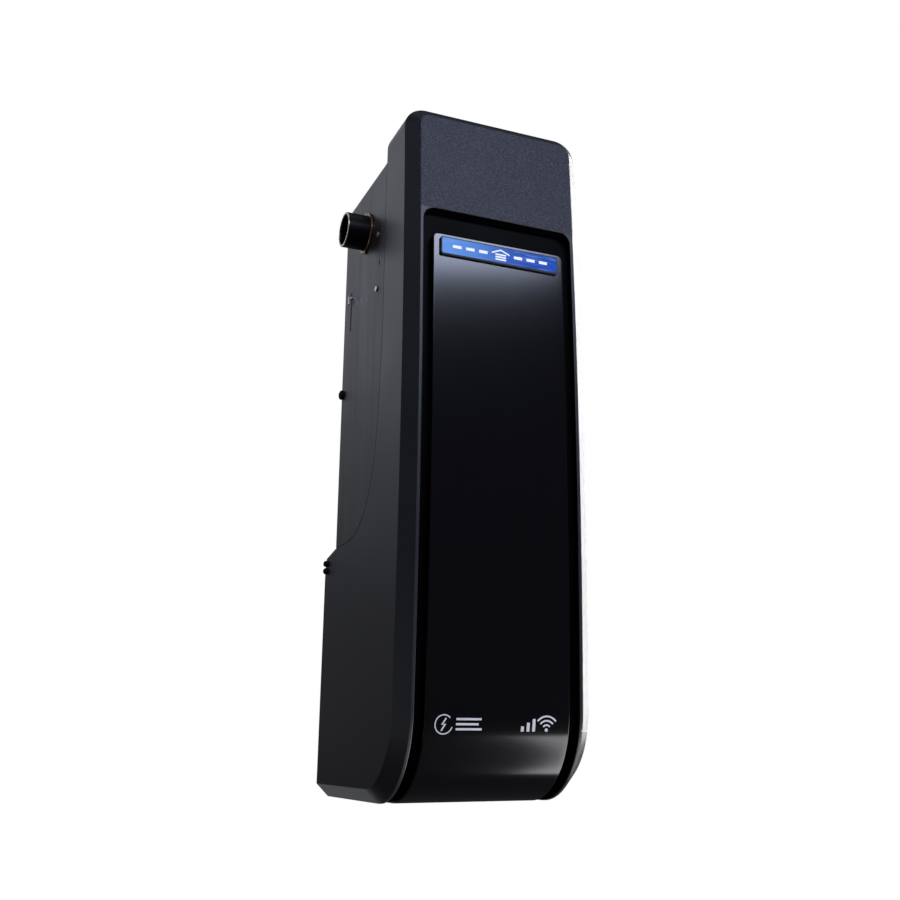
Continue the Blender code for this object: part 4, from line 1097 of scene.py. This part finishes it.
COLOUR = {"subtype": "COLOR", "min": 0.0, "max": 1.0}
LENGTH = {"subtype": "DISTANCE", "unit": "LENGTH"}
DONE = {"FINISHED"}


class OpenerLooks(bpy.types.PropertyGroup):
    """Sizes, colours and light of the opener"""

    cover_colour: FloatVectorProperty(
        name="Cover", description="Colour of the cover's plastic", default=(0.020, 0.020, 0.024), **COLOUR
    )
    panel_colour: FloatVectorProperty(
        name="Panel", description="Colour of the gloss panel", default=(0.004, 0.004, 0.005), **COLOUR
    )
    chassis_colour: FloatVectorProperty(
        name="Chassis", description="Colour of the chassis paint", default=(0.030, 0.030, 0.034), **COLOUR
    )
    badge_colour: FloatVectorProperty(
        name="Badge", description="Colour of the badge's right end", default=(0.010, 0.056, 0.34), **COLOUR
    )
    grain_size: FloatProperty(
        name="Grain", description="Width of one pebble of the grain", min=0.0003, default=0.0011, **LENGTH
    )
    edge_radius: FloatProperty(
        name="Edge radius", description="Rounding of the cover's edges", min=0.0002, default=0.0009, **LENGTH
    )
    bend_radius: FloatProperty(
        name="Bend radius", description="Outer radius of the bends", min=0.001, default=0.0026, **LENGTH
    )
    light: FloatProperty(
        name="Light", description="Strength of the cards", subtype="FACTOR", min=0.0, max=4.0, default=1.0
    )
    ambient: FloatProperty(
        name="Ambient", description="Light from all round", subtype="FACTOR", min=0.0, max=1.0, default=0.03
    )


class OPENER_OT_stage(bpy.types.Operator):
    """Sets up the camera, the floor and the lights"""

    bl_idname = "opener.stage"
    bl_label = "Stage"

    def execute(self, context):
        stage(context.scene.opener_looks)
        return DONE


class OPENER_OT_inside(bpy.types.Operator):
    """Finishes the parts that keep their own shape"""

    bl_idname = "opener.inside"
    bl_label = "Inner parts"

    def execute(self, context):
        inside()
        return DONE


class OPENER_OT_cover(bpy.types.Operator):
    """Builds the cover with its chamfers and recess"""

    bl_idname = "opener.cover"
    bl_label = "Cover"

    def execute(self, context):
        front_cover(context.scene.opener_looks)
        return DONE


class OPENER_OT_panel(bpy.types.Operator):
    """Builds the panel that wraps the front and the heel"""

    bl_idname = "opener.panel"
    bl_label = "Gloss panel"

    def execute(self, context):
        gloss_panel()
        return DONE


class OPENER_OT_badge(bpy.types.Operator):
    """Builds the plate and its pictogram"""

    bl_idname = "opener.badge"
    bl_label = "Badge"

    def execute(self, context):
        badge()
        return DONE


class OPENER_OT_icons(bpy.types.Operator):
    """Builds the two marks low on the panel"""

    bl_idname = "opener.icons"
    bl_label = "Printed marks"

    def execute(self, context):
        icons()
        return DONE


class OPENER_OT_chassis(bpy.types.Operator):
    """Builds the folded steel box"""

    bl_idname = "opener.chassis"
    bl_label = "Chassis"

    def execute(self, context):
        chassis(context.scene.opener_looks)
        return DONE


class OPENER_OT_shaft(bpy.types.Operator):
    """Builds the hollow shaft and its bushings"""

    bl_idname = "opener.shaft"
    bl_label = "Shaft"

    def execute(self, context):
        shaft_and_bushings()
        return DONE


class OPENER_OT_housing(bpy.types.Operator):
    """Builds the lower back and the cord gland"""

    bl_idname = "opener.housing"
    bl_label = "Rear housing"

    def execute(self, context):
        rear_housing()
        return DONE


class OPENER_OT_door(bpy.types.Operator):
    """Builds the door in the underside"""

    bl_idname = "opener.door"
    bl_label = "Battery door"

    def execute(self, context):
        battery_door()
        return DONE


class OPENER_OT_controls(bpy.types.Operator):
    """Builds the buttons and the terminal levers"""

    bl_idname = "opener.controls"
    bl_label = "Controls"

    def execute(self, context):
        controls()
        return DONE


class OPENER_OT_fasteners(bpy.types.Operator):
    """Builds the rivets and the screws"""

    bl_idname = "opener.fasteners"
    bl_label = "Fasteners"

    def execute(self, context):
        fasteners()
        return DONE


STEPS = (
    OPENER_OT_stage,
    OPENER_OT_inside,
    OPENER_OT_cover,
    OPENER_OT_panel,
    OPENER_OT_badge,
    OPENER_OT_icons,
    OPENER_OT_chassis,
    OPENER_OT_shaft,
    OPENER_OT_housing,
    OPENER_OT_door,
    OPENER_OT_controls,
    OPENER_OT_fasteners,
)


class OPENER_PT_sidebar(bpy.types.Panel):
    """Lists the looks and the building steps"""

    bl_idname = "OPENER_PT_sidebar"
    bl_label = "Garage door opener"
    bl_space_type = "VIEW_3D"
    bl_region_type = "UI"
    bl_category = "Opener"

    def draw(self, context):
        looks = context.scene.opener_looks
        for name in looks.bl_rna.properties.keys():
            if name not in ("rna_type", "name"):
                self.layout.prop(looks, name)
        for step in STEPS:
            self.layout.operator(step.bl_idname)


CLASSES = (OpenerLooks, *STEPS, OPENER_PT_sidebar)


def register():
    for item in CLASSES:
        bpy.utils.register_class(item)
    bpy.types.Scene.opener_looks = PointerProperty(type=OpenerLooks)


def unregister():
    del bpy.types.Scene.opener_looks
    for item in reversed(CLASSES):
        bpy.utils.unregister_class(item)


def main():
    register()
    for step in STEPS:
        getattr(bpy.ops.opener, step.bl_idname.split(".")[1])()


if __name__ == "__main__":
    main()
